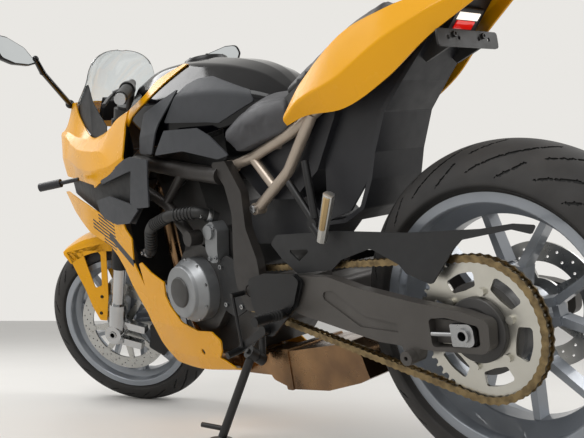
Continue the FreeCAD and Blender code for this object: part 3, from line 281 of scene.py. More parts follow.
@dataclass(frozen=True)
class StripedFinish(Finish):
    """Painted panel with a plain band of slanting dark stripes."""

    stripe: str = "#1A1517"
    # Each patch: the bars' direction as X and Z, its reach along them, its reach across, and the bars' period
    patches: tuple = ()

    def colour_socket(self, tree: NodeTree, where: NodeSocket) -> NodeSocket:
        """The panel's colour, with dark stripes inside the band.

        Args:
            tree: the material's tree.
            where: the socket that gives the place on the piece.

        Returns:
            The colour's socket.
        """
        plain = Finish.colour_socket(self, tree, where)
        parts = add_node(tree, "SeparateXYZ", {}, {0: self.upright(tree, where, CHASSIS)})

        def run(x_share: float, z_share: float) -> NodeSocket:
            """How far a place lies along a direction of the side view, in mm."""
            over = add_node(tree, "Math", {"operation": "MULTIPLY", 1: x_share / MM}, {0: parts.outputs[0]})
            total = add_node(tree, "Math", {"operation": "MULTIPLY_ADD", 1: z_share / MM},
                             {0: parts.outputs[2], 2: over.outputs[0]})
            return total.outputs[0]

        mask = None
        for (ax, az), reach, across, period in self.patches:
            side = run(-az, ax)
            tests = [(operation, edge, socket) for socket, edges in ((run(ax, az), reach), (side, across))
                     for operation, edge in zip(("GREATER_THAN", "LESS_THAN"), edges)]
            if period:
                wave = add_node(tree, "Math", {"operation": "PINGPONG", 1: period / 2}, {0: side})
                tests.append(("LESS_THAN", period / 4, wave.outputs[0]))
            inside = None
            for operation, edge, socket in tests:
                test = add_node(tree, "Math", {"operation": operation, 1: edge}, {0: socket}).outputs[0]
                inside = test if inside is None else add_node(
                    tree, "Math", {"operation": "MULTIPLY"}, {0: inside, 1: test}).outputs[0]
            mask = inside if mask is None else add_node(
                tree, "Math", {"operation": "MAXIMUM"}, {0: mask, 1: inside}).outputs[0]
        mix = add_node(tree, "Mix", {"data_type": "RGBA", 7: linear(self.stripe)}, {0: mask, 6: plain})
        return mix.outputs[2]


YELLOW = dict(colour="#DF9E05", shade="#D69503", roughness=0.26, ior=1.36,
              grain=Grain.ORANGE_PEEL, grain_mm=3.0, bump_mm=0.008, patch_mm=300.0)


class Palette(Enum):
    """The finishes of this machine, one for each kind of made surface."""

    # Lacquered ABS panel: deep golden yellow under a clear coat, with a faint orange peel
    YELLOW_PANEL = Finish("lacquered_abs_golden_yellow", **YELLOW)
    # The same panel with plain dark bars printed under the clear coat; the fine bars, about 9 mm
    # apart on the real one, are drawn 11 mm apart so that they show
    YELLOW_STRIPED = StripedFinish("lacquered_abs_yellow_striped", patches=(
        ((-0.89, -0.457), (-1365.0, -1262.0), (-45.0, -6.0), 11.0),
        ((-0.89, -0.457), (-1405.0, -1262.0), (-6.0, 28.0), 11.0),
        ((-0.89, -0.457), (-1335.0, -1262.0), (28.0, 45.0), 11.0),
        ((-0.715, -0.70), (-1240.0, -1105.0), (380.0, 403.0), 0.0)), **YELLOW)
    # Sprayed steel tank: black under clear lacquer, mirror-like, with soft waves in what it reflects
    GLOSS_BLACK = Finish("lacquered_steel_black", "#050508", "#08080C", 0.12, ior=1.36,
                         grain=Grain.ORANGE_PEEL, grain_mm=4.0, bump_mm=0.006)
    # Grained polypropylene: even dark grey that scatters light, with a pebbled mould texture
    GRAINED_PLASTIC = Finish("grained_polypropylene_grey", "#36383C", "#2E3034", 0.58, grain=Grain.PEBBLED,
                             grain_mm=2.2, bump_mm=0.16)
    # Unpainted black moulding: flat, with a mould grain too fine to show, drawn twice as coarse
    MATT_PLASTIC = Finish("moulded_polypropylene_black", "#101113", "#17181A", 0.58, grain=Grain.PEBBLED,
                          grain_mm=1.2, bump_mm=0.05)
    # Inner mudguard and nose mouldings: near black, with a low sheen
    SATIN_PLASTIC = Finish("moulded_abs_charcoal", "#15161B", "#1B1C21", 0.46, grain=Grain.PEBBLED, grain_mm=1.2,
                           bump_mm=0.03)
    # Powder-coated aluminium: brownish grey, satin, with a fine sparkle-free skin
    FRAME_COAT = Finish("powder_coated_aluminium_umber", "#4A4744", "#3E3B38", 0.44, metallic=0.30,
                        grain=Grain.CAST, grain_mm=1.6, bump_mm=0.03)
    # The welded frame: the same powder, painted darker as the shade of the tank that it lies in
    FRAME_DARK = Finish("powder_coated_steel_painted_shade", "#2E2B29", "#262321", 0.46, metallic=0.25,
                        grain=Grain.CAST, grain_mm=1.6, bump_mm=0.03)
    # Small steel brackets, stays and the stand: black powder, lightly rubbed
    FRAME_BLACK = Finish("powder_coated_steel_black", "#1D1C1C", "#262524", 0.45, metallic=0.2, grain=Grain.CAST,
                         grain_mm=1.4, bump_mm=0.03)
    # Bolt-on rear frame: pale taupe metallic paint under thin lacquer, with a long soft highlight
    SUBFRAME_COAT = Finish("metallic_paint_taupe", "#A79A8C", "#8F8375", 0.36, metallic=0.55, coat=0.4,
                           grain=Grain.CAST, grain_mm=1.2, bump_mm=0.015)
    # Painted sand casting: cool silver grey with a rough skin and oil-dulled patches
    SILVER_CASTING = Finish("sand_cast_aluminium_painted", "#8C8E90", "#6E6F70", 0.44, metallic=0.75,
                            grain=Grain.CAST, grain_mm=1.8, bump_mm=0.09)
    # Crankcase and head: graphite paint on a sand casting, rough and dull
    DARK_CASTING = Finish("sand_cast_aluminium_graphite", "#454443", "#2C2B2B", 0.46, metallic=0.6,
                          grain=Grain.CAST, grain_mm=1.8, bump_mm=0.09)
    # Stainless box tinted by heat: straw and bronze clouds over brushed metal
    HEAT_STEEL = Finish("stainless_steel_heat_tinted", "#8F7152", "#56453A", 0.30, metallic=1.0,
                        grain=Grain.CAST, grain_mm=2.0, bump_mm=0.03, patch_mm=160.0, patch_share=1.0,
                        rough_spread=0.10)
    # Extruded rubber hose: black with a grey bloom
    HOSE_RUBBER = Finish("extruded_epdm_hose", "#151515", "#1E1E1E", 0.55, grain=Grain.CAST, bump_mm=0.03)
    # Vulcanised tread and wall: black, browned by dust in broad patches
    TYRE_RUBBER = Finish("vulcanised_tyre_rubber_dusty", "#1C1B1B", "#37332F", 0.72, grain=Grain.CAST,
                         grain_mm=1.6, bump_mm=0.07, patch_mm=160.0, patch_share=0.55)
    # The floor of the grooves: plain black and matt, without the tread's dust and darker still, as painted shade
    # in the grooves
    GROOVE_SHADE_RUBBER = Finish("vulcanised_tyre_rubber_groove_shade", "#101010", "#171615", 0.80, grain=Grain.CAST,
                           bump_mm=0.03)
    # Moulded grips and footrest sleeves: black with small raised dots
    GRIP_RUBBER = Finish("moulded_grip_rubber", "#141414", "#1B1B1B", 0.66, grain=Grain.PEBBLED, grain_mm=2.4,
                         bump_mm=0.25)
    # Upholstery vinyl: charcoal, leather-grained, with a low sheen
    SEAT_VINYL = Finish("calendered_vinyl_charcoal", "#3B3B3E", "#323235", 0.56, grain=Grain.PEBBLED, grain_mm=2.6,
                        bump_mm=0.20)
    # The passenger's cover: darker and smoother vinyl
    SEAT_VINYL_SMOOTH = Finish("calendered_vinyl_black", "#2A2A2C", "#232325", 0.50, grain=Grain.PEBBLED,
                               grain_mm=2.0, bump_mm=0.10)
    # Cast wheels in powder coat: blue-grey silver with a soft shine
    WHEEL_PAINT = Finish("powder_coated_wheel_blue_silver", "#8D9299", "#7F858D", 0.34, metallic=0.45, coat=0.5,
                         grain=Grain.CAST, grain_mm=1.4, bump_mm=0.015)
    # Zinc-plated steel: warm pale metal with rings left by turning, drawn at 0.9 mm so that they show
    SPROCKET_ZINC = Finish("zinc_plated_steel_champagne", "#C4C2BA", "#B0ADA2", 0.34, metallic=1.0,
                           grain=Grain.SPUN, grain_mm=0.9, bump_mm=0.02, axle=CHASSIS,
                           centre=(0, 0, REAR_RADIUS))
    # Rolled side plates: bronze-toned steel with dark oil in small patches along it
    CHAIN_PLATE = Finish("rolled_steel_chain_bronze", "#8A7858", "#544838", 0.36, metallic=1.0, grain=Grain.CAST,
                         grain_mm=1.0, bump_mm=0.02, patch_mm=14.0, patch_share=0.9)
    # Ground stainless discs: bright, with fine rings round the axle
    GROUND_STEEL_REAR = Finish("ground_stainless_disc_rear", "#A9A9A7", "#8F8F8D", 0.30, metallic=1.0,
                               grain=Grain.SPUN, grain_mm=0.8, bump_mm=0.02, axle=CHASSIS,
                               centre=(0, 0, REAR_RADIUS))
    GROUND_STEEL_FRONT = Finish("ground_stainless_disc_front", "#B2B2AF", "#979693", 0.30, metallic=1.0,
                                grain=Grain.SPUN, grain_mm=0.8, bump_mm=0.02, axle=STEERED,
                                centre=(WHEELBASE, 0, FRONT_RADIUS))
    # Bolts, axle nuts and bar weights: zinc-plated, cool and shiny
    TURNED_STEEL = Finish("turned_steel_zinc_plated", "#A7A8A9", "#8A8B8C", 0.30, metallic=1.0, grain=Grain.CAST,
                          grain_mm=1.0, bump_mm=0.01)
    # Hard-chromed fork tube: mirror-like with faint lengthwise polish marks
    STANCHION = Finish("hard_chromed_fork_tube", "#B9BABB", "#A4A5A6", 0.16, metallic=1.0, grain=Grain.BRUSHED,
                       grain_mm=0.8, bump_mm=0.006)
    # Anodised parts: black with a silky metal sheen
    FORK_COAT = Finish("anodised_aluminium_black", "#1B1B1C", "#252526", 0.34, metallic=0.5, grain=Grain.CAST,
                       grain_mm=1.0, bump_mm=0.015)
    # Bead-blasted alloy: pale, even and matt
    SATIN_ALLOY = Finish("bead_blasted_aluminium", "#B9B8B4", "#9F9E99", 0.38, metallic=0.9, grain=Grain.CAST,
                         grain_mm=1.2, bump_mm=0.02)
    # Footrest inserts: tan rubber, dull
    TAN_RUBBER = Finish("moulded_rubber_tan", "#A98F63", "#8E7650", 0.7, grain=Grain.CAST, bump_mm=0.05)
    # Injection-moulded acrylic: clear, glossy and nearly smooth
    CLEAR_SCREEN = Finish("clear_acrylic_sheet", "#EEF3F5", "#E6ECEF", 0.03, ior=1.49, transmission=0.97,
                          rough_spread=0.01)
    # Moulded polycarbonate lens: clear with a faint blue cast
    HEAD_LENS = Finish("clear_polycarbonate_lens", "#F4F6F8", "#E2E6EA", 0.05, ior=1.58, transmission=0.75,
                       rough_spread=0.02)
    # The lit clear strip of the tail lamp: warm white
    LIT_LENS = Finish("clear_acrylic_lens_lit", "#FFF6EA", "#FFE9D2", 0.12, glow=0.9)
    # The lit red strip of the tail lamp
    RED_LENS = Finish("red_acrylic_lens_lit", "#D8170F", "#B0120C", 0.14, coat=1.0, glow=0.55)
    # Silvered glass: a clean mirror
    MIRROR_GLASS = Finish("silvered_glass", "#D5DADD", "#CDD2D5", 0.03, metallic=1.0, rough_spread=0.01)
    # Coated fins: black, read as one dark grained face because the fins are too fine to show
    RADIATOR_CORE = Finish("black_coated_aluminium_fins", "#161718", "#232425", 0.5, metallic=0.4,
                           grain=Grain.CAST, grain_mm=1.0, bump_mm=0.05)

    @property
    def material(self) -> Material:
        """The finish's material, built on its first use."""
        found = bpy.data.materials.get(self.value.title)
        return found or self.value.build()


NODE_FINISHES: dict[str, Palette] = {
    "main_frame": Palette.FRAME_DARK, "subframe": Palette.SUBFRAME_COAT, "crankcase": Palette.DARK_CASTING,
    "cylinder_head": Palette.DARK_CASTING, "engine_covers": Palette.SILVER_CASTING,
    "sprocket_cover": Palette.MATT_PLASTIC, "radiator": Palette.RADIATOR_CORE,
    "exhaust_headers": Palette.HEAT_STEEL, "exhaust_box": Palette.HEAT_STEEL,
    "coolant_hose": Palette.HOSE_RUBBER, "fuel_tank": Palette.GLOSS_BLACK,
    "tank_pads": Palette.GRAINED_PLASTIC, "tail_panels": Palette.YELLOW_PANEL,
    "tail_light": Palette.RED_LENS, "under_tail": Palette.SATIN_PLASTIC,
    "plate_bracket": Palette.FRAME_BLACK, "swingarm": Palette.FRAME_COAT,
    "rear_axle": Palette.TURNED_STEEL, "chain": Palette.CHAIN_PLATE, "chain_guard": Palette.MATT_PLASTIC,
    "front_sprocket": Palette.TURNED_STEEL, "rider_footrests": Palette.FORK_COAT,
    "gear_lever": Palette.FORK_COAT, "passenger_footrests": Palette.FORK_COAT,
    "upper_cowl": Palette.YELLOW_PANEL, "nose": Palette.SATIN_PLASTIC, "headlights": Palette.HEAD_LENS,
    "windscreen": Palette.CLEAR_SCREEN, "lower_cowl": Palette.YELLOW_STRIPED,
    "side_ducts": Palette.GRAINED_PLASTIC, "dash": Palette.MATT_PLASTIC, "fairing_stay": Palette.FRAME_BLACK,
    "mirrors": Palette.GLOSS_BLACK, "turn_signals": Palette.SATIN_PLASTIC,
    "stand_bracket": Palette.FRAME_BLACK, "fork_upper": Palette.FORK_COAT, "fork_lower": Palette.STANCHION,
    "front_axle": Palette.TURNED_STEEL, "front_calipers": Palette.FORK_COAT,
    "front_mudguard": Palette.YELLOW_PANEL, "handlebars": Palette.FRAME_BLACK, "grips": Palette.GRIP_RUBBER,
    "control_levers": Palette.FORK_COAT, "bar_weights": Palette.TURNED_STEEL,
    "side_stand": Palette.FRAME_BLACK, "front_rim": Palette.WHEEL_PAINT,
    "front_discs": Palette.GROUND_STEEL_FRONT, "rear_rim": Palette.WHEEL_PAINT,
    "sprocket_carrier": Palette.DARK_CASTING, "rear_sprocket": Palette.SPROCKET_ZINC,
    "rear_disc": Palette.GROUND_STEEL_REAR, "front_tyre": Palette.TYRE_RUBBER,
    "rear_tyre": Palette.TYRE_RUBBER, "rider_seat": Palette.SEAT_VINYL, "passenger_seat": Palette.SEAT_VINYL,
}


# Mesh tools

def finished(name: str, mesh: BMesh, finish: Palette, body: str, smooth: float = 35.0,
             second: Optional[Palette] = None) -> Object:
    """Turns a built mesh, in place, into a piece that rides on a body.

    Args:
        name: the piece's name.
        mesh: the mesh, in the row frame in metres. It is freed.
        finish: what the piece is made of.
        body: the body that it rides on.
        smooth: edges sharper than this angle in degrees stay sharp.
        second: finish of the faces with material index 1.

    Returns:
        The piece.
    """
    bmesh.ops.recalc_face_normals(mesh, faces=mesh.faces)
    data = bpy.data.meshes.new(name)
    mesh.to_mesh(data)
    mesh.free()
    return from_data(name, data, finish, body, smooth, second)


def from_data(name: str, data: Mesh, finish: Palette, body: str, smooth: float = 35.0,
              second: Optional[Palette] = None) -> Object:
    """A piece from mesh data that is already in place; Args and Returns are those of finished.

    Args:
        name: the piece's name.
        data: the mesh, in the row frame in metres.
        finish: what the piece is made of.
        body: the body that it rides on.
        smooth: edges sharper than this angle in degrees stay sharp.
        second: finish of the faces with material index 1.

    Returns:
        The piece.
    """
    kept = [polygon.material_index for polygon in data.polygons] if second else []
    data.materials.clear()
    data.materials.append(finish.material)
    if second:
        data.materials.append(second.material)
        data.polygons.foreach_set("material_index", kept)
    data.shade_smooth()
    data.set_sharp_from_angle(angle=math.radians(smooth))
    piece = bpy.data.objects.new(name, data)
    bpy.context.scene.collection.objects.link(piece)
    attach(piece, body)
    LOG.info("%s: %d faces on %s", name, len(data.polygons), body)
    return piece


def on_chassis(name: str, mesh: BMesh, finish: Palette, smooth: float = 35.0) -> Object:
    """Places a mesh that is drawn in mm on the chassis; the rest is as in finished."""
    CHASSIS.place(mesh)
    return finished(name, mesh, finish, "chassis", smooth)


def turned(drawing_way: Vector, at: Sequence[float]) -> Matrix:
    """A matrix that stands a Z-up mesh at a place, pointing a given way, in mm."""
    return Matrix.Translation(Vector(at)) @ drawing_way.to_track_quat("Z", "Y").to_matrix().to_4x4()


def applied(piece: Object) -> Mesh:
    """The mesh of a piece with its modifiers applied.

    Args:
        piece: the object with its modifiers.

    Returns:
        The new mesh.
    """
    graph = bpy.context.evaluated_depsgraph_get()
    graph.update()
    return bpy.data.meshes.new_from_object(piece.evaluated_get(graph))


def add_bolt(mesh: BMesh, at: Point, way: Point, radius: float, height: float,
             button: bool = False) -> None:
    """Adds a socket-head bolt to a mesh that is drawn in mm.

    Args:
        mesh: the mesh that takes the bolt.
        at: where its head sits.
        way: the direction that its head faces.
        radius: the head's radius.
        height: the head's height.
        button: whether the head is domed and not straight.
    """
    before = set(mesh.verts)
    top_radius = radius * (0.72 if button else 1.0)
    bmesh.ops.create_cone(mesh, cap_ends=True, segments=24, radius1=radius, radius2=top_radius, depth=height,
                          matrix=Matrix.Translation((0, 0, height / 2 - 0.3)))
    verts = [v for v in mesh.verts if v not in before]
    top = max({f for v in verts for f in v.link_faces}, key=lambda f: f.calc_center_median().z)
    bmesh.ops.inset_region(mesh, faces=[top], thickness=radius * 0.09, depth=radius * 0.07)
    bmesh.ops.inset_region(mesh, faces=[top], thickness=top_radius * 0.34)
    socket = top_radius * 0.5
    for vert in top.verts:
        angle = math.atan2(vert.co.y, vert.co.x)
        flat = (angle + math.pi / 6) % (math.pi / 3) - math.pi / 6
        reach = socket / math.cos(flat)
        vert.co.x, vert.co.y = reach * math.cos(angle), reach * math.sin(angle)
    sunk = bmesh.ops.extrude_face_region(mesh, geom=[top])
    floor = [g for g in sunk["geom"] if isinstance(g, BMVert)]
    bmesh.ops.translate(mesh, verts=floor, vec=(0, 0, -height * 0.55))
    bmesh.ops.delete(mesh, geom=[top], context="FACES_ONLY")
    new = [v for v in mesh.verts if v not in before]
    bmesh.ops.transform(mesh, matrix=turned(Vector(way).normalized(), at), verts=new)


def add_tube(mesh: BMesh, start: Point, end: Point, radius: float, end_radius: Optional[float] = None,
             segments: int = 24, bevel: float = 0.0) -> None:
    """Adds a straight round bar to a mesh that is drawn in mm.

    Args:
        mesh: the mesh that takes the bar.
        start: the middle of one end.
        end: the middle of the other end.
        radius: its radius at the start.
        end_radius: its radius at the end, where that differs.
        segments: sides of the bar.
        bevel: size of the chamfer on both rims.
    """
    way = Vector(end) - Vector(start)
    middle = (Vector(end) + Vector(start)) / 2
    made = bmesh.ops.create_cone(mesh, cap_ends=True, segments=segments, radius1=radius,
                                 radius2=radius if end_radius is None else end_radius, depth=way.length,
                                 matrix=turned(way.normalized(), middle))
    if bevel:
        caps = {f for v in made["verts"] for f in v.link_faces if len(f.verts) > 4}
        rims = [e for e in mesh.edges if not caps.isdisjoint(e.link_faces)]
        bmesh.ops.bevel(mesh, geom=rims, offset=bevel, segments=2, profile=0.5, affect="EDGES", material=-1)


# Lofts and trims, all drawn in mm in the upright frame

Corner = tuple[float, float, float]


def round_corners(points: Sequence[Corner], closed: bool, arc_points: int = 5) -> list[tuple[float, float]]:
    """A flat outline with its corners turned by arcs, always with as many points for the same corners.

    Args:
        points: corners as (a, b, radius).
        closed: whether the last corner joins the first.
        arc_points: points on each arc.

    Returns:
        The outline's points.
    """
    made = []
    count = len(points)
    for i, (a, b, radius) in enumerate(points):
        here = Vector((a, b))
        if radius <= 0 or (not closed and i in (0, count - 1)):
            made.append((a, b))
            continue
        back = Vector(points[i - 1][:2]) - here
        on = Vector(points[(i + 1) % count][:2]) - here
        angle = back.angle(on, math.pi)
        reach = min(max(radius / math.tan(angle / 2), 1.5), back.length * 0.48, on.length * 0.48)
        start, end = here + back.normalized() * reach, here + on.normalized() * reach
        for k in range(arc_points):
            t = k / (arc_points - 1)
            place = start * (1 - t) ** 2 + here * (2 * t * (1 - t)) + end * t ** 2
            made.append((place.x, place.y))
    return made


def between(rows: Sequence[tuple[float, Sequence[tuple[float, ...]]]], steps: int
            ) -> list[tuple[float, list[tuple[float, ...]]]]:
    """Adds smooth rows between the drawn ones.

    Args:
        rows: each an X and its points, with as many points in every row.
        steps: how many rows each gap becomes.

    Returns:
        The rows, drawn and new.
    """
    xs = [x for x, _ in rows]

    def slope(i: int, j: int, k: int) -> float:
        """The lie of one coordinate at a drawn row."""
        low, high = max(i - 1, 0), min(i + 1, len(rows) - 1)
        return (rows[high][1][j][k] - rows[low][1][j][k]) / (xs[high] - xs[low])

    made = []
    for i in range(len(rows) - 1):
        gap = xs[i + 1] - xs[i]
        for step in range(steps):
            t = step / steps
            shares = (2 * t ** 3 - 3 * t ** 2 + 1, (t ** 3 - 2 * t ** 2 + t) * gap,
                      3 * t ** 2 - 2 * t ** 3, (t ** 3 - t ** 2) * gap)
            points = []
            for j, (here, there) in enumerate(zip(rows[i][1], rows[i + 1][1])):
                points.append(tuple(
                    here[k] * shares[0] + slope(i, j, k) * shares[1] + there[k] * shares[2]
                    + slope(i + 1, j, k) * shares[3] for k in range(len(here))))
            made.append((xs[i] + gap * t, points))
    return made + [(xs[-1], [tuple(point) for point in rows[-1][1]])]


def add_loft(mesh: BMesh, rings: Sequence[Sequence[Point]]) -> None:
    """Bridges closed rings of points into one closed solid with flat ends.

    Args:
        mesh: the mesh that takes the solid.
        rings: the rings, each with as many points.
    """
    loops = []
    for ring in rings:
        verts = [mesh.verts.new(point) for point in ring]
        loops.append([mesh.edges.new((a, b)) for a, b in zip(verts, verts[1:] + verts[:1])])
    for loop, following in zip(loops, loops[1:]):
        bmesh.ops.bridge_loops(mesh, edges=loop + following)
    for loop in (loops[0], loops[-1]):
        bmesh.ops.contextual_create(mesh, geom=loop)


def add_prism(mesh: BMesh, outline: Sequence[Corner], low: float, high: float) -> None:
    """Adds an upright prism on a side-view outline, from one Y to another.

    Args:
        mesh: the mesh that takes the prism.
        outline: corners as (x, z, radius).
        low: Y of its one end.
        high: Y of its other end.
    """
    places = round_corners(outline, True)
    places = [here for here, back in zip(places, places[-1:] + places[:-1]) if math.dist(here, back) > 0.05]
    verts = [mesh.verts.new((a, low, b)) for a, b in places]
    edges = [mesh.edges.new((a, b)) for a, b in zip(verts, verts[1:] + verts[:1])]
    face = bmesh.ops.contextual_create(mesh, geom=edges)["faces"][0]
    made = bmesh.ops.extrude_face_region(mesh, geom=[face])
    top = [g for g in made["geom"] if isinstance(g, BMVert)]
    bmesh.ops.translate(mesh, verts=top, vec=(0, high - low, 0))


def loose(name: str, mesh: BMesh) -> Object:
    """An object that is only a step towards a piece.

    Args:
        name: the object's name.
        mesh: its mesh. It is freed.

    Returns:
        The object.
    """
    bmesh.ops.recalc_face_normals(mesh, faces=mesh.faces)
    data = bpy.data.meshes.new(name)
    mesh.to_mesh(data)
    mesh.free()
    thing = bpy.data.objects.new(name, data)
    bpy.context.scene.collection.objects.link(thing)
    return thing


def trim(mesh: BMesh, cutter: BMesh, keep_common: bool = True) -> BMesh:
    """Trims a solid by another.

    Args:
        mesh: the solid. It is freed.
        cutter: the solid that trims it. It is freed.
        keep_common: True keeps what both share, False takes the cutter away.

    Returns:
        The trimmed solid.
    """
    solid, tool = loose("solid", mesh), loose("tool", cutter)
    cut = solid.modifiers.new("trim", "BOOLEAN")
    cut.operation = "INTERSECT" if keep_common else "DIFFERENCE"
    cut.solver = "EXACT"
    cut.object = tool
    data = applied(solid)
    bpy.data.objects.remove(solid)
    bpy.data.objects.remove(tool)
    made = bmesh.new()
    made.from_mesh(data)
    bmesh.ops.dissolve_degenerate(made, edges=made.edges, dist=0.01)
    return made


def both_sides(mesh: BMesh) -> None:
    """Adds the mirror image of a left-hand mesh.

    Args:
        mesh: the left-hand mesh, which takes the mirror image.
    """
    copy = bmesh.ops.duplicate(mesh, geom=mesh.verts[:] + mesh.edges[:] + mesh.faces[:])["geom"]
    verts = [g for g in copy if isinstance(g, BMVert)]
    bmesh.ops.scale(mesh, vec=(1, -1, 1), verts=verts)
    bmesh.ops.reverse_faces(mesh, faces=[g for g in copy if isinstance(g, BMFace)])


def soften_rims(mesh: BMesh, size: float) -> None:
    """Rounds the long edges where faces meet sharply.

    Args:
        mesh: the mesh whose edges are rounded.
        size: the width of the rounding in mm.
    """
    sharp = [e for e in mesh.edges if len(e.link_faces) == 2 and e.calc_length() > size * 1.5
             and e.calc_face_angle(0.0) > math.radians(50)]
    bmesh.ops.bevel(mesh, geom=sharp, offset=size, segments=1, profile=0.5, affect="EDGES", material=-1,
                    clamp_overlap=True)


@dataclass
class Panel:
    """A moulded panel on the left side and its mirror image: a curved skin trimmed to side-view outlines.

    Each row is an X with the skin's points as (y, z). Each outline's corner is (x, z, radius), and each
    hole is (x, z, radius) too.
    """

    name: str
    finish: Palette
    rows: tuple
    outlines: tuple
    thick: float = 4.0
    crease: float = 9.0
    steps: int = 6
    holes: tuple = ()
    slot: str = "yellow_panel"
    replaced: tuple[str, ...] = ()

    def rings(self) -> list[list[Point]]:
        """The skin's closed sections, outside then inside.

        Returns:
            One ring of points for each X.
        """
        made = []
        for x, points in between(self.rows, self.steps):
            corners = [(y, z, self.crease) for y, z in points]
            outside = [Vector((x, y, z)) for y, z in round_corners(corners, False, 4)]
            inside = []
            for i, here in enumerate(outside):
                way = (outside[min(i + 1, len(outside) - 1)] - outside[max(i - 1, 0)]).normalized()
                inwards = Vector((0, way.z, -way.y))
                inside.append(here + (inwards if inwards.y <= 0 else -inwards) * self.thick)
            made.append(outside + inside[::-1])
        return made

    def mesh(self) -> BMesh:
        """The trimmed panels of both sides.

        Returns:
            The mesh, in mm.
        """
        whole = bmesh.new()
        for outline in self.outlines:
            skin, prism = bmesh.new(), bmesh.new()
            add_loft(skin, self.rings())
            add_prism(prism, outline, -2.0, 330.0)
            part = trim(skin, prism)
            for x, z, radius in self.holes:
                drill = bmesh.new()
                add_tube(drill, (x, 20, z), (x, 330, z), radius)
                part = trim(part, drill, False)
            data = bpy.data.meshes.new("part")
            part.to_mesh(data)
            part.free()
            whole.from_mesh(data)
        both_sides(whole)
        return whole

    def build(self) -> Object:
        """Makes the panels and puts them on the chassis.

        Returns:
            The piece.
        """
        mesh = self.mesh()
        CHASSIS.place(mesh)
        piece = finished(self.name, mesh, self.finish, "chassis", 28.0)
        if self.replaced:
            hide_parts(*self.replaced)
        return piece


TANK_SECTIONS = (
    # x, top z, shoulder y, shoulder z, knee y, knee z, base y, base z
    (456, 836, 30, 832, 56, 816, 54, 802), (474, 862, 42, 855, 84, 828, 82, 800),
    (512, 900, 56, 889, 112, 846, 104, 794), (572, 936, 76, 921, 134, 864, 124, 786),
    (650, 966, 96, 950, 154, 880, 144, 780), (750, 995, 114, 976, 168, 892, 156, 780),
    (860, 1010, 126, 988, 176, 900, 166, 790), (990, 1004, 112, 982, 170, 892, 162, 806),
)


def tank_flank(grow: float) -> tuple:
    """The left flank of the tank as panel rows, moved outwards by a gap."""
    return tuple((x, ((shoulder_y * 0.3, top + grow), (shoulder_y + grow, shoulder_z + grow * 0.6),
                      (knee_y + grow, knee_z), (base_y + grow, base_z)))
                 for x, top, shoulder_y, shoulder_z, knee_y, knee_z, base_y, base_z in TANK_SECTIONS)


@dataclass
class Tank:
    """The fuel tank with its knee pads, its yellow strip and its filler cap."""

    filler: Point = (812.0, 0.0, 1003.0)
    ring_radius: float = 62.0
    lid_radius: float = 36.0
    screw_circle: float = 49.0
    screws: int = 6

    def body(self) -> Object:
        """The pressed steel body.

        Returns:
            The piece.
        """
        rows = [(x, [(y, z) for y, z in points]) for x, points in tank_flank(0.0)]
        rings = []
        for x, points in between(rows, 6):
            (top_y, top_z), (shoulder_y, shoulder_z), (knee_y, knee_z), (base_y, base_z) = points
            left = [(top_y, top_z, top_y * 0.9), (shoulder_y, shoulder_z, shoulder_y * 0.36),
                    (knee_y, knee_z, knee_y * 0.22), (base_y, base_z, 4.0)]
            right = [(-y, z, r) for y, z, r in reversed(left)]
            rings.append([(x, y, z) for y, z in round_corners(left + right, True, 7)])
        mesh = bmesh.new()
        add_loft(mesh, rings)
        piece = on_chassis("fuel_tank_body", mesh, Palette.GLOSS_BLACK, 40.0)
        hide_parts("fuel_tank")
        return piece

    def filler_cap(self) -> Object:
        """The flush cap on its ring, with the ring's screws.

        Returns:
            The piece.
        """
        mesh = bmesh.new()
        x, y, z = self.filler
        add_tube(mesh, (x, y, z - 8), (x, y, z + 5), self.ring_radius, self.ring_radius - 4, 64, 1.5)
        add_tube(mesh, (x, y, z + 4), (x, y, z + 9), self.lid_radius, self.lid_radius - 2, 48, 1.2)
        for i in range(self.screws):
            angle = math.radians(360 / self.screws * i + 30)
            place = (x + self.screw_circle * math.cos(angle), y + self.screw_circle * math.sin(angle), z + 5)
            add_bolt(mesh, place, (0, 0, 1), 5.0, 3.5, True)
        return on_chassis("filler_cap", mesh, Palette.FORK_COAT)

    def build(self) -> None:
        """Builds the tank's pieces."""
        self.body()
        self.filler_cap()
        Panel("knee_pads", Palette.GRAINED_PLASTIC, tank_flank(4.6), (
            ((797, 838, 4), (700, 911, 6), (667, 918, 10), (628, 914, 12), (512, 852, 8), (502, 824, 6),
             (606, 797, 6), (640, 806, 8)),), crease=24.0, slot="textured_plastic",
            replaced=("tank_pads",)).build()
        Panel("tank_strip", Palette.YELLOW_PANEL, tank_flank(4.0), (
            ((985, 912, 0), (885, 930, 60), (835, 957, 40), (744, 976, 0), (732, 971, 0), (869, 906, 30),
             (951, 886, 0), (985, 868, 0)),), crease=24.0).build()


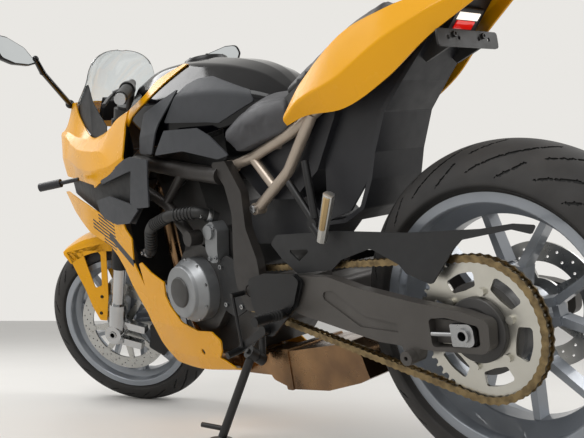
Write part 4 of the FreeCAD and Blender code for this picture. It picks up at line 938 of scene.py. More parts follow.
@dataclass
class Fairing:
    """The upper cowl, the ducts, the belly and the lining behind the screen."""

    def build(self) -> None:
        """Builds the fairing's panels from the nose back."""
        Panel("upper_cowl_sides", Palette.YELLOW_PANEL, (
            # x, then rim, crest, brow, belly and lower edge as (y, z)
            (945, ((156, 920), (168, 911), (211, 812), (219, 785), (215, 755))),
            (1043, ((157, 907), (172, 901), (214, 790), (220, 772), (213, 742))),
            (1110, ((158, 892), (168, 884), (206, 823), (217, 775), (210, 730))),
            (1181, ((155, 884), (165, 872), (201, 836), (211, 780), (205, 722))),
            (1298, ((136, 901), (150, 892), (186, 862), (194, 805), (184, 755))),
            (1400, ((117, 985), (139, 920), (162, 896), (173, 845), (166, 776))),
            (1440, ((108, 1040), (132, 936), (150, 915), (164, 855), (158, 784))),
            (1500, ((96, 1030), (124, 957), (136, 942), (151, 870), (148, 796))),
            (1566, ((76, 982), (114, 966), (119, 955), (128, 880), (128, 820)))), (
            ((1570, 1060, 0), (1562, 962, 0), (1530, 872, 20), (1490, 805, 10), (1183, 738, 4), (1184, 729, 4),
             (957, 766, 4), (955, 803, 4), (977, 871, 4), (977, 1060, 0)),), crease=6.0,
            replaced=("upper_cowl",)).build()
        self.nose_top()
        self.screen()
        mesh = bmesh.new()
        add_prism(mesh, ((1436, 790, 0), (1436, 930, 0), (1440, 930, 0), (1440, 790, 0)), -118, 118)
        add_prism(mesh, ((650, 788, 10), (650, 716, 20), (980, 700, 20), (1010, 788, 10)), -98, 98)
        on_chassis("airbox_and_bulkhead", mesh, Palette.MATT_PLASTIC)
        Panel("lower_cowl_sides", Palette.YELLOW_STRIPED, (
            # x, then points from the blade's top down to the belly's middle as (y, z)
            (700, ((196, 760), (198, 610), (172, 480), (160, 400), (150, 310), (136, 235), (126, 202), (0, 158))),
            (900, ((202, 760), (203, 610), (178, 480), (163, 395), (154, 310), (132, 225), (118, 187), (0, 156))),
            (1050, ((206, 760), (203, 610), (182, 490), (167, 410), (151, 320), (126, 235), (112, 200), (0, 162))),
            (1150, ((204, 760), (202, 630), (186, 530), (171, 440), (148, 330), (120, 240), (100, 210), (0, 174))),
            (1300, ((196, 770), (194, 690), (191, 605), (165, 480), (130, 340), (100, 240), (80, 215), (0, 194))),
            (1510, ((162, 780), (158, 755), (150, 680), (130, 500), (100, 340), (80, 240), (60, 215),
                     (0, 200)))), (
            ((1506, 757, 3), (1468, 754, 20), (1279, 692, 60), (1182, 651, 40), (1103, 625, 40), (1045, 612, 5),
             (1045, 594, 8), (1027, 564, 8), (1062, 500, 4), (1043, 424, 2), (1033, 492, 3), (1019, 495, 5),
             (985, 464, 10), (934, 434, 3), (950, 397, 10), (939, 365, 12), (902, 323, 20), (836, 300, 20),
             (776, 299, 10), (747, 275, 8), (758, 247, 6), (778, 228, 3), (761, 221, 3), (727, 204, 3),
             (790, 150, 0), (980, 150, 20), (1051, 226, 24), (1071, 260, 40), (1080, 344, 80), (1115, 429, 40),
             (1129, 485, 30), (1147, 521, 20), (1178, 557, 20), (1297, 607, 60), (1438, 686, 30)),),
            holes=((848, 241, 8.0),), replaced=("lower_cowl",)).build()
        # here and below: x, then the skin's upper edge, middle and lower edge as (y, z)
        outside = ((835, ((210, 800), (207, 690), (200, 600))), (950, ((221, 800), (212, 690), (205, 600))),
                   (1060, ((217, 800), (212, 690), (204, 600))), (1190, ((210, 800), (206, 690), (203, 600))))
        Panel("duct_plates", Palette.GRAINED_PLASTIC, outside, (
            ((1126, 742, 3), (952, 774, 0), (917, 776, 6), (845, 754, 6), (884, 637, 6), (944, 641, 0),
             (972, 659, 3), (928, 741, 4), (1119, 731, 3)),
            ((1180, 691, 3), (1085, 693, 10), (952, 650, 0), (940, 636, 0), (1004, 606, 0), (1080, 610, 0),
             (1150, 634, 0), (1176, 655, 0))), crease=14.0, slot="textured_plastic",
            replaced=("side_ducts",)).build()
        Panel("duct_walls", Palette.MATT_PLASTIC, (
            (880, ((190, 800), (190, 690), (188, 600))), (1000, ((196, 800), (194, 690), (188, 600))),
            (1190, ((192, 800), (188, 690), (184, 600))), (1300, ((176, 800), (174, 690), (170, 600))),
            (1500, ((134, 800), (136, 760), (134, 700)))), (
            ((1486, 794, 0), (1183, 752, 0), (1000, 772, 0), (906, 745, 0), (930, 650, 0), (1004, 602, 0),
             (1182, 640, 0), (1279, 680, 0), (1462, 744, 0)),), thick=3.0, slot="textured_plastic").build()
        Panel("side_covers", Palette.GRAINED_PLASTIC, (
            (540, ((128, 915), (160, 810), (162, 700))), (640, ((154, 915), (177, 810), (172, 700))),
            (740, ((164, 915), (186, 810), (186, 730))), (840, ((171, 915), (190, 820), (189, 730))),
            (930, ((168, 915), (189, 820), (188, 730)))), (
            ((838, 763, 4), (776, 815, 6), (648, 795, 6), (612, 770, 6), (558, 713, 3), (597, 711, 6),
             (713, 752, 20)),
            ((878, 880, 6), (718, 906, 3), (802, 838, 4), (852, 769, 4), (913, 782, 6))), crease=24.0,
            slot="textured_plastic").build()
        Panel("fairing_lining", Palette.MATT_PLASTIC, (
            (1200, ((128, 912), (134, 880))), (1288, ((117, 1008), (131, 896))), (1306, ((115, 1066), (129, 904))),
            (1400, ((103, 1040), (112, 972))), (1430, ((98, 1030), (103, 1012)))), (
            ((1190, 860, 0), (1440, 860, 0), (1440, 1080, 0), (1190, 1080, 0)),), thick=3.0, steps=4,
            slot="black_plastic").build()

    def screen(self) -> Object:
        """The clear screen, bent to arcs that close in towards its top.

        Returns:
            The piece.
        """
        rows = ((1030, ((1428, 106, 1504),)), (1070, ((1306, 121, 1458),)), (1105, ((1283, 115, 1406),)),
                (1135, ((1270, 98, 1352),)), (1153, ((1264, 74, 1316),)), (1163, ((1262, 46, 1290),)),
                (1168, ((1264, 14, 1272),)))
        rings = []
        for z, points in between(rows, 5):
            side_x, side_y, front_x = points[0]
            outside, inside = [], []
            for i in range(25):
                share = i / 12 - 1
                x = front_x - (front_x - side_x) * share * share
                outside.append((x, side_y * share, z))
                inside.append((x - 3.2, side_y * share * 0.985, z))
            rings.append(outside + inside[::-1])
        mesh = bmesh.new()
        add_loft(mesh, rings)
        piece = on_chassis("screen", mesh, Palette.CLEAR_SCREEN, 50.0)
        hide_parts("windscreen")
        return piece

    def nose_top(self) -> Object:
        """The yellow deck over the nose, ahead of the screen.

        Returns:
            The piece.
        """
        rings = []
        for x, points in between(((1437, ((1040, 107),)), (1500, ((1031, 95),)), (1566, ((983, 75),))), 6):
            z, half = points[0]
            rings.append([(x, half * 0.3, z + 5), (x, half, z), (x, half, z - 4), (x, half * 0.3, z + 1),
                          (x, -half * 0.3, z + 1), (x, -half, z - 4), (x, -half, z), (x, -half * 0.3, z + 5)])
        mesh = bmesh.new()
        add_loft(mesh, rings)
        piece = on_chassis("nose_deck", mesh, Palette.YELLOW_PANEL, 30.0)
        return piece


@dataclass
class Tail:
    """The seat unit's panels."""

    def build(self) -> None:
        """Builds the side panels and the black base between them."""
        Panel("tail_sides", Palette.YELLOW_PANEL, (
            # x, then lower edge, crease and upper edge as (y, z)
            (372, ((136, 741), (146, 753), (140, 764))), (319, ((128, 750), (146, 780), (128, 818))),
            (213, ((122, 742), (138, 800), (106, 884))), (114, ((106, 774), (120, 840), (84, 903))),
            (30, ((84, 823), (94, 866), (64, 906))), (-48, ((58, 858), (66, 884), (46, 904))),
            (-100, ((40, 880), (46, 892), (38, 902)))), (
            ((380, 600, 0), (380, 1000, 0), (-110, 1000, 0), (-110, 600, 0)),), crease=10.0,
            replaced=("tail_panels",)).build()
        mesh = bmesh.new()
        # x, then the left half's crown, edge and underside as (y, z)
        rows = ((110, ((40, 916), (82, 903), (80, 896))), (-104, ((20, 908), (38, 902), (37, 894))))
        add_loft(mesh, [[(x, y, z) for y, z in half] + [(x, -y, z) for y, z in half[::-1]] for x, half in rows])
        deck = on_chassis("tail_deck", mesh, Palette.YELLOW_PANEL)
        mesh = bmesh.new()
        # x, top, bottom, half width
        rows = ((112, 893, 852, 84), (220, 869, 812, 112), (310, 831, 778, 126), (388, 803, 752, 130))
        add_loft(mesh, [[(x, half * 0.9, top), (x, half * 0.97, bottom), (x, -half * 0.97, bottom),
                         (x, -half * 0.9, top)] for x, top, bottom, half in rows])
        core = on_chassis("seat_base", mesh, Palette.MATT_PLASTIC)
        self.under_tail()
        self.lamp()
        self.plate_bar()

    def under_tail(self) -> Object:
        """The black inner mudguard, its flanks and the battery tray ahead of it.

        Returns:
            The piece.
        """
        below = ((-34, 895), (60, 810), (108, 769), (160, 722), (198, 650), (216, 600), (248, 545), (300, 523),
                 (372, 523))
        above = ((372, 531), (304, 531), (256, 551), (226, 604), (208, 654), (168, 729), (114, 776), (66, 817),
                 (-26, 901))
        mesh = bmesh.new()
        add_prism(mesh, [(x, z, 12) for x, z in below + above], -90, 90)
        for side in (1, -1):
            low, high = sorted((side * 76, side * 81))
            add_prism(mesh, ((358, 531, 0), (290, 545, 10), (212, 620, 10), (180, 720, 10), (110, 778, 10),
                             (60, 817, 10), (-26, 897, 0), (60, 870, 30), (160, 850, 20), (330, 700, 20)),
                      low, high)
        for vert in mesh.verts:
            narrow = 84 - 32 * min(max((380 - vert.co.x) / 440, 0.0), 1.0)
            vert.co.y = math.copysign(min(abs(vert.co.y), 90) * narrow / 84, vert.co.y)
        add_prism(mesh, ((640, 700, 10), (600, 660, 20), (548, 604, 20), (440, 590, 20), (350, 640, 20),
                         (262, 756, 10), (395, 735, 10), (548, 708, 10)), -92, 92)
        add_prism(mesh, ((690, 606, 10), (640, 500, 20), (430, 490, 20), (376, 530, 10), (440, 596, 10),
                         (548, 612, 10)), -58, 58)
        soften_rims(mesh, 2.0)
        piece = on_chassis("under_tail_shell", mesh, Palette.SATIN_PLASTIC, 40.0)
        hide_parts("under_tail")
        return piece

    def lamp(self) -> None:
        """The lamp let into the tail's underside: a black housing with a clear strip over a red one."""
        housing = bmesh.new()
        add_prism(housing, ((-8, 872, 4), (-16, 864, 4), (26, 826, 4), (34, 832, 4)), -38, 38)
        soften_rims(housing, 1.2)
        piece = on_chassis("tail_lamp_housing", housing, Palette.SATIN_PLASTIC)
        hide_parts("tail_light")
        along, out = Vector((42, -38)).normalized(), Vector((-38, -42)).normalized()
        for name, start, end, half, finish in (("tail_lamp_clear", 8, 22, 30, Palette.LIT_LENS),
                                               ("tail_lamp_red", 24, 40, 26, Palette.RED_LENS)):
            corners = []
            for reach, proud in ((start, -3), (start, 2.4), (end, 2.4), (end, -3)):
                place = Vector((-16, 864)) + along * reach + out * proud
                corners.append((place.x, place.y, 1.0))
            mesh = bmesh.new()
            add_prism(mesh, corners, -half, half)
            on_chassis(name, mesh, finish)

    def plate_bar(self) -> Object:
        """The number plate's holed bar on two arms.

        Returns:
            The piece.
        """
        mesh = bmesh.new()
        add_prism(mesh, ((-92, 800, 8), (-92, 831, 8), (92, 831, 8), (92, 800, 8)), 0, 4)
        bmesh.ops.rotate(mesh, cent=(0, 0, 0), matrix=Matrix.Rotation(-math.pi / 2, 3, "Z"), verts=mesh.verts)
        bmesh.ops.translate(mesh, verts=mesh.verts, vec=(1, 0, 0))
        for y in (-62, -30, 30, 62):
            drill = bmesh.new()
            add_tube(drill, (-20, y, 816), (20, y, 816), 4.0)
            mesh = trim(mesh, drill, False)
        for side in (1, -1):
            low, high = sorted((side * 44, side * 50))
            add_prism(mesh, ((5, 826, 0), (5, 804, 0), (64, 790, 0), (76, 806, 0), (40, 836, 0)), low, high)
        for y in (-44, 44):
            add_bolt(mesh, (1, y, 822), (-1, 0, 0), 5.5, 4.0)
        piece = on_chassis("plate_carrier", mesh, Palette.FRAME_BLACK)
        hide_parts("plate_bracket")
        return piece


# Tyres

@dataclass(frozen=True)
class Groove:
    """One moulded groove, as a bowed line on the unrolled tread that narrows to both ends."""

    start: tuple[float, float]
    end: tuple[float, float]
    bow: float
    half_width: float

    def line(self, pitch: float, half: float) -> list[tuple[float, float, float]]:
        """Points along the groove as (mm round the tyre, mm across, half width).

        Args:
            pitch: length of one repeat of the tread, in mm.
            half: the tread's half width along its arc, in mm.

        Returns:
            The groove's points.
        """
        points = []
        for i in range(13):
            share = i / 12
            bowed = self.bow * math.sin(math.pi * share)
            round_share = self.start[0] + (self.end[0] - self.start[0]) * share + bowed
            across = self.start[1] + (self.end[1] - self.start[1]) * share
            taper = 0.5 + 0.5 * math.sin(math.pi * share) ** 0.5
            points.append((round_share * pitch, across * half, self.half_width * taper))
        return points


@dataclass
class Tyre:
    """A treaded radial tyre that stands for the plain one."""

    node: str
    body: str
    drawing: Drawing
    centre: Point
    radius: float
    width: float
    crown: float
    rim_half: float
    repeats: int = 13
    cell: float = 3.8
    groove_depth: float = 2.6
    wall: float = 8.0
    bead_radius: float = 214.0
    lip_radius: float = 230.5
    rim_wall: float = 5.0
    pattern: tuple[Groove, ...] = (
        Groove((0.0, 0.10), (0.98, 0.80), -0.14, 3.2),
        Groove((0.62, 0.14), (1.02, 0.48), -0.03, 2.7),
        Groove((0.18, 0.60), (0.52, 0.90), -0.03, 2.4),
    )

    @property
    def lean(self) -> float:
        """Half the angle that the tread's arc spans."""
        return math.asin(min(self.width / 2 / self.crown, 1.0))

    def section(self) -> list[tuple[float, float]]:
        """The tyre's section from one bead over the crown to the other and back inside, as (y, radius).

        Returns:
            The points of the closed section.
        """
        half = self.width / 2
        count = round(self.lean * self.crown / self.cell)
        hub = self.radius - self.crown
        crown = [(self.crown * math.sin(a), hub + self.crown * math.cos(a))
                 for a in (self.lean * (i / count) for i in range(count, -count - 1, -1))]
        shoulder = crown[0][1]
        bead_y = self.rim_half - self.rim_wall - 0.2
        rise = shoulder - self.lip_radius
        left = [(bead_y, self.bead_radius), (bead_y, self.lip_radius)]
        # Two fine raised rings are moulded on the flank
        for share, stand in ((0.12, 0.0), (0.16, 0.9), (0.22, 0.9), (0.26, 0.0), (0.5, 0.0), (0.52, 0.7),
                             (0.55, 0.7), (0.57, 0.0), (0.8, 0.0)):
            bulge = math.sin(share * math.pi / 2) ** 0.8
            left.append((bead_y + (half - bead_y) * bulge + stand, self.lip_radius + rise * share))
        arch = [(y * (half - self.wall) / half, r - self.wall) for y, r in crown[4:-4:6]]
        inner = [(bead_y - self.wall, self.bead_radius), (half - self.wall, shoulder - 4)]
        right = [(-y, r) for y, r in reversed(left)]
        return left + crown + right + [(-y, r) for y, r in inner] + arch[::-1] + inner[::-1]

    def nearest(self, around: float, across: float, lines: list[list[tuple[float, float, float]]]
                ) -> tuple[float, float, float]:
        """How far a place of the tread is from the edge of the nearest groove.

        Args:
            around: mm round the tyre.
            across: mm across it.
            lines: the grooves' lines, with their repeats.

        Returns:
            The distance, below 0 inside a groove, and the unit way towards the groove's line.
        """
        best = (1e9, 0.0, 0.0)
        for points in lines:
            for (u0, v0, w0), (u1, v1, w1) in zip(points, points[1:]):
                du, dv = u1 - u0, v1 - v0
                share = ((around - u0) * du + (across - v0) * dv) / (du * du + dv * dv)
                share = min(max(share, 0.0), 1.0)
                to_u, to_v = u0 + du * share - around, v0 + dv * share - across
                away = math.hypot(to_u, to_v)
                edge = away - (w0 + (w1 - w0) * share)
                if edge < best[0]:
                    best = (edge, to_u / max(away, 1e-6), to_v / max(away, 1e-6))
        return best

    def lay(self, around: float, across: float) -> Vector:
        """The place on the tyre of a point of the unrolled tread."""
        angle, lean = around / self.radius, across / self.crown
        r = self.radius - self.crown + self.crown * math.cos(lean)
        return Vector((r * math.sin(angle), self.crown * math.sin(lean), r * math.cos(angle)))

    def unrolled(self, place: Vector) -> tuple[float, float]:
        """The point of the unrolled tread under a place near the crown."""
        ring = math.hypot(place.x, place.z)
        across = math.atan2(place.y, ring - (self.radius - self.crown)) * self.crown
        return math.atan2(place.x, place.z) * self.radius, across

    def build(self) -> Object:
        """Moulds one repeat of the tread, copies it round and sinks the grooves.

        Returns:
            The piece.
        """
        mesh = bmesh.new()
        ring = [mesh.verts.new((0.0, y, r)) for y, r in self.section()]
        edges = [mesh.edges.new((a, b)) for a, b in zip(ring, ring[1:] + ring[:1])]
        turn = 2 * math.pi / self.repeats
        pitch = turn * self.radius
        bmesh.ops.spin(mesh, geom=ring + edges, axis=(0, 1, 0), angle=turn, steps=round(pitch / self.cell))
        half = self.lean * self.crown
        lines = []
        for side in (1, -1):
            for groove in self.pattern:
                for shift in (-2, -1, 0, 1):
                    move = (shift + (0.5 if side < 0 else 0.0)) * pitch
                    lines.append([(u + move, v * side, w) for u, v, w in groove.line(pitch, half)])
        rim_line = self.radius - self.crown + self.crown * math.cos(self.lean)
        for vert in mesh.verts:
            out = math.hypot(math.hypot(vert.co.x, vert.co.z) - (self.radius - self.crown), vert.co.y)
            if abs(out - self.crown) > 0.05 or math.hypot(vert.co.x, vert.co.z) < rim_line + 0.5:
                continue
            around, across = self.unrolled(vert.co)
            edge, to_u, to_v = self.nearest(around, across, lines)
            if abs(edge) < self.cell * 0.52:
                vert.co = self.lay(around + to_u * edge, across + to_v * edge)
        # Faces on the floor of a groove take the second finish, whose darker black is painted shade in the grooves
        for face in mesh.faces:
            middle = face.calc_center_median()
            ring_at = math.hypot(middle.x, middle.z)
            out = math.hypot(ring_at - (self.radius - self.crown), middle.y)
            if out > self.crown - 1.0 and ring_at > rim_line:
                around, across = self.unrolled(middle)
                face.material_index = int(self.nearest(around, across, lines)[0] < -0.2)
        whole = mesh.verts[:] + mesh.edges[:] + mesh.faces[:]
        bmesh.ops.spin(mesh, geom=whole, axis=(0, 1, 0), angle=turn * (self.repeats - 1), steps=self.repeats - 1,
                       use_duplicate=True)
        bmesh.ops.remove_doubles(mesh, verts=mesh.verts, dist=0.02)
        bmesh.ops.recalc_face_normals(mesh, faces=mesh.faces)
        sunk = [face for face in mesh.faces if face.material_index]
        bmesh.ops.inset_region(mesh, faces=sunk, thickness=0.35, depth=-self.groove_depth, use_even_offset=True)
        bmesh.ops.translate(mesh, verts=mesh.verts, vec=self.centre)
        self.drawing.place(mesh)
        piece = finished(self.node + "_treaded", mesh, Palette.TYRE_RUBBER, self.body, 32.0, Palette.GROOVE_SHADE_RUBBER)
        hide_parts(self.node)
        return piece


# Seats

@dataclass
class Cushion:
    """A stuffed seat pad: its cover is blown up by cloth simulation and its seams are pressed in."""

    node: str
    title: str
    finish: Palette
    sections: tuple[tuple[float, float, float, float], ...]
    outline: tuple[Corner, ...] = ()
    seams: tuple[Callable[[Vector], float], ...] = ()
    shrink_mm: float = 3.5
    cap_mm: float = 8.0
    under_cap_mm: float = 1.0
    voxel_mm: float = 5.0
    seam_depth_mm: float = 1.8
    seam_half_mm: float = 2.6
    frames: int = 20

    def blank(self) -> Object:
        """A slightly smaller closed form of the pad, with even faces.

        Returns:
            The closed form as an object.
        """
        rings = []
        for x, points in between([(x, ((top, bottom, half),)) for x, top, bottom, half in self.sections], 5):
            top, bottom, half = points[0]
            left = [(half * 0.62, top, 40), (half * 0.93, top - 20, 30), (half, (top + bottom) / 2, 24),
                    (half * 0.92, bottom, 12)]
            whole = left + [(-y, z, r) for y, z, r in reversed(left)]
            rings.append([(x, y, z) for y, z in round_corners(whole, True)])
        mesh = bmesh.new()
        add_loft(mesh, rings)
        if self.outline:
            prism = bmesh.new()
            add_prism(prism, self.outline, -220.0, 220.0)
            bmesh.ops.recalc_face_normals(mesh, faces=mesh.faces)
            mesh = trim(mesh, prism)
        CHASSIS.place(mesh)
        bmesh.ops.recalc_face_normals(mesh, faces=mesh.faces)
        mesh.normal_update()
        for vert in mesh.verts:
            vert.co -= vert.normal * self.shrink_mm * MM
        data = bpy.data.meshes.new(self.title)
        mesh.to_mesh(data)
        mesh.free()
        pad = bpy.data.objects.new(self.title, data)
        bpy.context.scene.collection.objects.link(pad)
        even = pad.modifiers.new("even", "REMESH")
        even.mode = "VOXEL"
        even.voxel_size = self.voxel_mm * MM
        pad.data = applied(pad)
        pad.modifiers.clear()
        soften = pad.modifiers.new("soften", "SMOOTH")
        soften.iterations = 6
        pad.data = applied(pad)
        pad.modifiers.clear()
        return pad

    def inflate(self, pad: Object) -> None:
        """Lets the pad swell as stuffed cloth, and holds each point near where it began.

        Args:
            pad: the closed form, which takes the swollen mesh.
        """
        start = [v.co.copy() for v in pad.data.vertices]
        normals = [v.normal.copy() for v in pad.data.vertices]
        cloth = pad.modifiers.new("stuffing", "CLOTH")
        cloth.settings.use_pressure = True
        cloth.settings.uniform_pressure_force = 4.0
        cloth.settings.effector_weights.gravity = 0.0
        scene = bpy.context.scene
        for step in range(1, self.frames + 1):
            scene.frame_set(step)
        swollen = applied(pad)
        pad.modifiers.clear()
        down = CHASSIS.direction((0, 0, -1))
        for vert, begun, normal in zip(swollen.vertices, start, normals):
            move = vert.co - begun
            under = max(normal.dot(down), 0.0)
            cap = (self.cap_mm * (1 - under) + self.under_cap_mm * under) * MM
            if move.length > cap:
                vert.co = begun + move * (cap / move.length)
        pad.data = swollen
        scene.frame_set(1)

    def press_seams(self, pad: Object) -> None:
        """Sinks the cover along its seams, which the simulation can't hold.

        Args:
            pad: the pad whose cover is pressed in.
        """
        back = CHASSIS.to_row.inverted()
        for vert in pad.data.vertices:
            place = (back @ vert.co) / MM
            for seam in self.seams:
                away = abs(seam(place)) / self.seam_half_mm
                if away < 3:
                    vert.co -= vert.normal * self.seam_depth_mm * MM * math.exp(-away * away)

    def build(self) -> Object:
        """Makes the pad and seats it where its solid is.

        Returns:
            The piece.
        """
        pad = self.blank()
        self.inflate(pad)
        smooth = pad.modifiers.new("round", "SUBSURF")
        smooth.levels = smooth.render_levels = 1
        pad.data = applied(pad)
        pad.modifiers.clear()
        self.press_seams(pad)
        data = pad.data
        bpy.data.objects.remove(pad)
        piece = from_data(self.title, data, self.finish, "chassis", 80.0)
        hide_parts(self.node)
        return piece


# Fastenings and small fittings

@dataclass
class Fastenings:
    """Bolts that the panels and castings are held by, and the generator's cap."""

    generator: Point = (835.0, 150.0, 408.0)
    generator_circle: float = 77.0
    generator_bolts: int = 9
    generator_face: float = 181.0
    frame_bolts: tuple[Point, ...] = ((619, 123.5, 694), (546, 123.5, 584))
    cover_bolts: tuple[Point, ...] = ((719, 123.6, 458), (719, 123.6, 364), (655, 123.6, 358))
    mudguard_bolts: tuple[Point, ...] = ((WHEELBASE + 31, 76.7, FRONT_RADIUS + 118),
                                         (WHEELBASE + 57, 76.7, FRONT_RADIUS + 63))

    def ring_of(self, x: float, y: float, z: float, radius: float, count: int, first: float) -> list[Point]:
        """Places on a circle in a side view, as points in mm."""
        angles = (math.radians(first + 360.0 * i / count) for i in range(count))
        return [(x + radius * math.cos(a), y, z + radius * math.sin(a)) for a in angles]

    def bolts(self, name: str, places: Sequence[Point], radius: float, height: float, finish: Palette,
              side: float = 1.0, button: bool = False, body: str = "chassis",
              drawing: Drawing = CHASSIS) -> Object:
        """One piece of like bolts that all face one side.

        Args:
            name: the piece's name.
            places: where each head sits, in mm.
            radius: head radius in mm.
            height: head height in mm.
            finish: what the bolts are made of.
            side: 1 for heads that face left, -1 for right.
            button: whether the heads are domed.
            body: what they ride on.
            drawing: the frame that the places are in.

        Returns:
            The piece.
        """
        mesh = bmesh.new()
        for place in places:
            add_bolt(mesh, place, (0.0, side, 0.0), radius, height, button)
        drawing.place(mesh)
        return finished(name, mesh, finish, body)

    def build(self) -> None:
        """Puts every group of fastenings in its place."""
        x, _, z = self.generator
        cover = self.ring_of(*self.generator, self.generator_circle, self.generator_bolts, 12)
        self.bolts("generator_cover_bolts", cover, 6.0, 7.0, Palette.TURNED_STEEL)
        self.bolts("subframe_bolts", self.frame_bolts, 9.5, 8.0, Palette.TURNED_STEEL)
        self.bolts("subframe_bolts_right", [(x, -y, z) for x, y, z in self.frame_bolts], 9.5, 8.0,
                   Palette.TURNED_STEEL, side=-1.0)
        self.bolts("sprocket_cover_bolts", self.cover_bolts, 6.0, 6.0, Palette.TURNED_STEEL)
        self.bolts("mudguard_bolts", self.mudguard_bolts, 6.0, 4.0, Palette.FORK_COAT, button=True,
                   body="steering", drawing=STEERED)
        mesh = bmesh.new()
        add_tube(mesh, (x, self.generator_face, z), (x, self.generator_face + 7.4, z), 41.0, 38.0, 48, 1.6)
        on_chassis("generator_cap", mesh, Palette.DARK_CASTING)


@dataclass
class Wheels:
    """Both tyres."""

    def build(self) -> None:
        """Builds the tyres."""
        Tyre("rear_tyre", "rear_wheel", CHASSIS, (0.0, 0.0, REAR_RADIUS), REAR_RADIUS, 180.0, 92.0, 76.0).build()
        Tyre("front_tyre", "front_wheel", STEERED, (WHEELBASE, 0.0, FRONT_RADIUS), FRONT_RADIUS, 120.0, 60.0,
             54.0).build()


@dataclass
class Mirrors:
    """Both mirrors, each on an arm whose foot stands on the nose."""

    foot: Point = (1484.0, 104.0, 1046.0)
    elbow: Point = (1310.0, 250.0, 1106.0)
    hub: Point = (1262.0, 284.0, 1132.0)
    toe_deg: float = 28.0
    face_middle: tuple[float, float] = (78.0, 12.0)
    glass_share: float = 0.9
    face: tuple[Corner, ...] = ((-6, -12, 6), (38, 28, 30), (104, 48, 20), (146, 48, 20), (155, 18, 16),
                                (138, -18, 20), (86, -28, 30), (28, -24, 20))

    def ring(self, depth: float, share: float) -> list[Point]:
        """The face's outline, drawn in towards its middle, at a depth in mm.

        Args:
            depth: mm ahead of the face.
            share: size as a share of the face's.

        Returns:
            The ring's points.
        """
        middle = Vector(self.face_middle)
        points = round_corners(self.face, True)
        return [(depth, *(middle + (Vector(point) - middle) * share)) for point in points]

    def shell(self) -> BMesh:
        """The left shell, closed in front and open to its glass behind.

        Returns:
            The mesh, in mm from the hub.
        """
        mesh = bmesh.new()
        add_loft(mesh, [self.ring(depth, share) for depth, share in
                        ((0, 0.97), (3, 1.0), (14, 0.97), (25, 0.84), (31, 0.62))])
        return mesh

    def seated(self, mesh: BMesh, name: str, finish: Palette) -> Object:
        """Turns a left-hand mesh to its toe angle, mirrors it and seats both.

        Args:
            mesh: the left-hand mesh, in mm from the hub.
            name: the piece's name.
            finish: what the piece is made of.

        Returns:
            The piece.
        """
        bmesh.ops.rotate(mesh, cent=(0, 0, 0), verts=mesh.verts,
                         matrix=Matrix.Rotation(math.radians(self.toe_deg), 3, "Z"))
        bmesh.ops.translate(mesh, verts=mesh.verts, vec=self.hub)
        if name == "mirror_shells":
            for start, end in ((self.foot, self.elbow), (self.elbow, self.hub)):
                add_tube(mesh, start, end, 9.0, 8.0)
            for place, radius in ((self.foot, 15.0), (self.elbow, 9.6), (self.hub, 10.0)):
                bmesh.ops.create_uvsphere(mesh, u_segments=24, v_segments=12, radius=radius,
                                          matrix=Matrix.Translation(place))
        both_sides(mesh)
        CHASSIS.place(mesh)
        return finished(name, mesh, finish, "chassis")

    def build(self) -> None:
        """Builds shells, arms and glasses."""
        shells = self.seated(self.shell(), "mirror_shells", Palette.GLOSS_BLACK)
        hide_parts("mirrors")
        glass = bmesh.new()
        add_loft(glass, [self.ring(depth, self.glass_share) for depth in (-0.9, 0.6)])
        self.seated(glass, "mirror_glasses", Palette.MIRROR_GLASS)


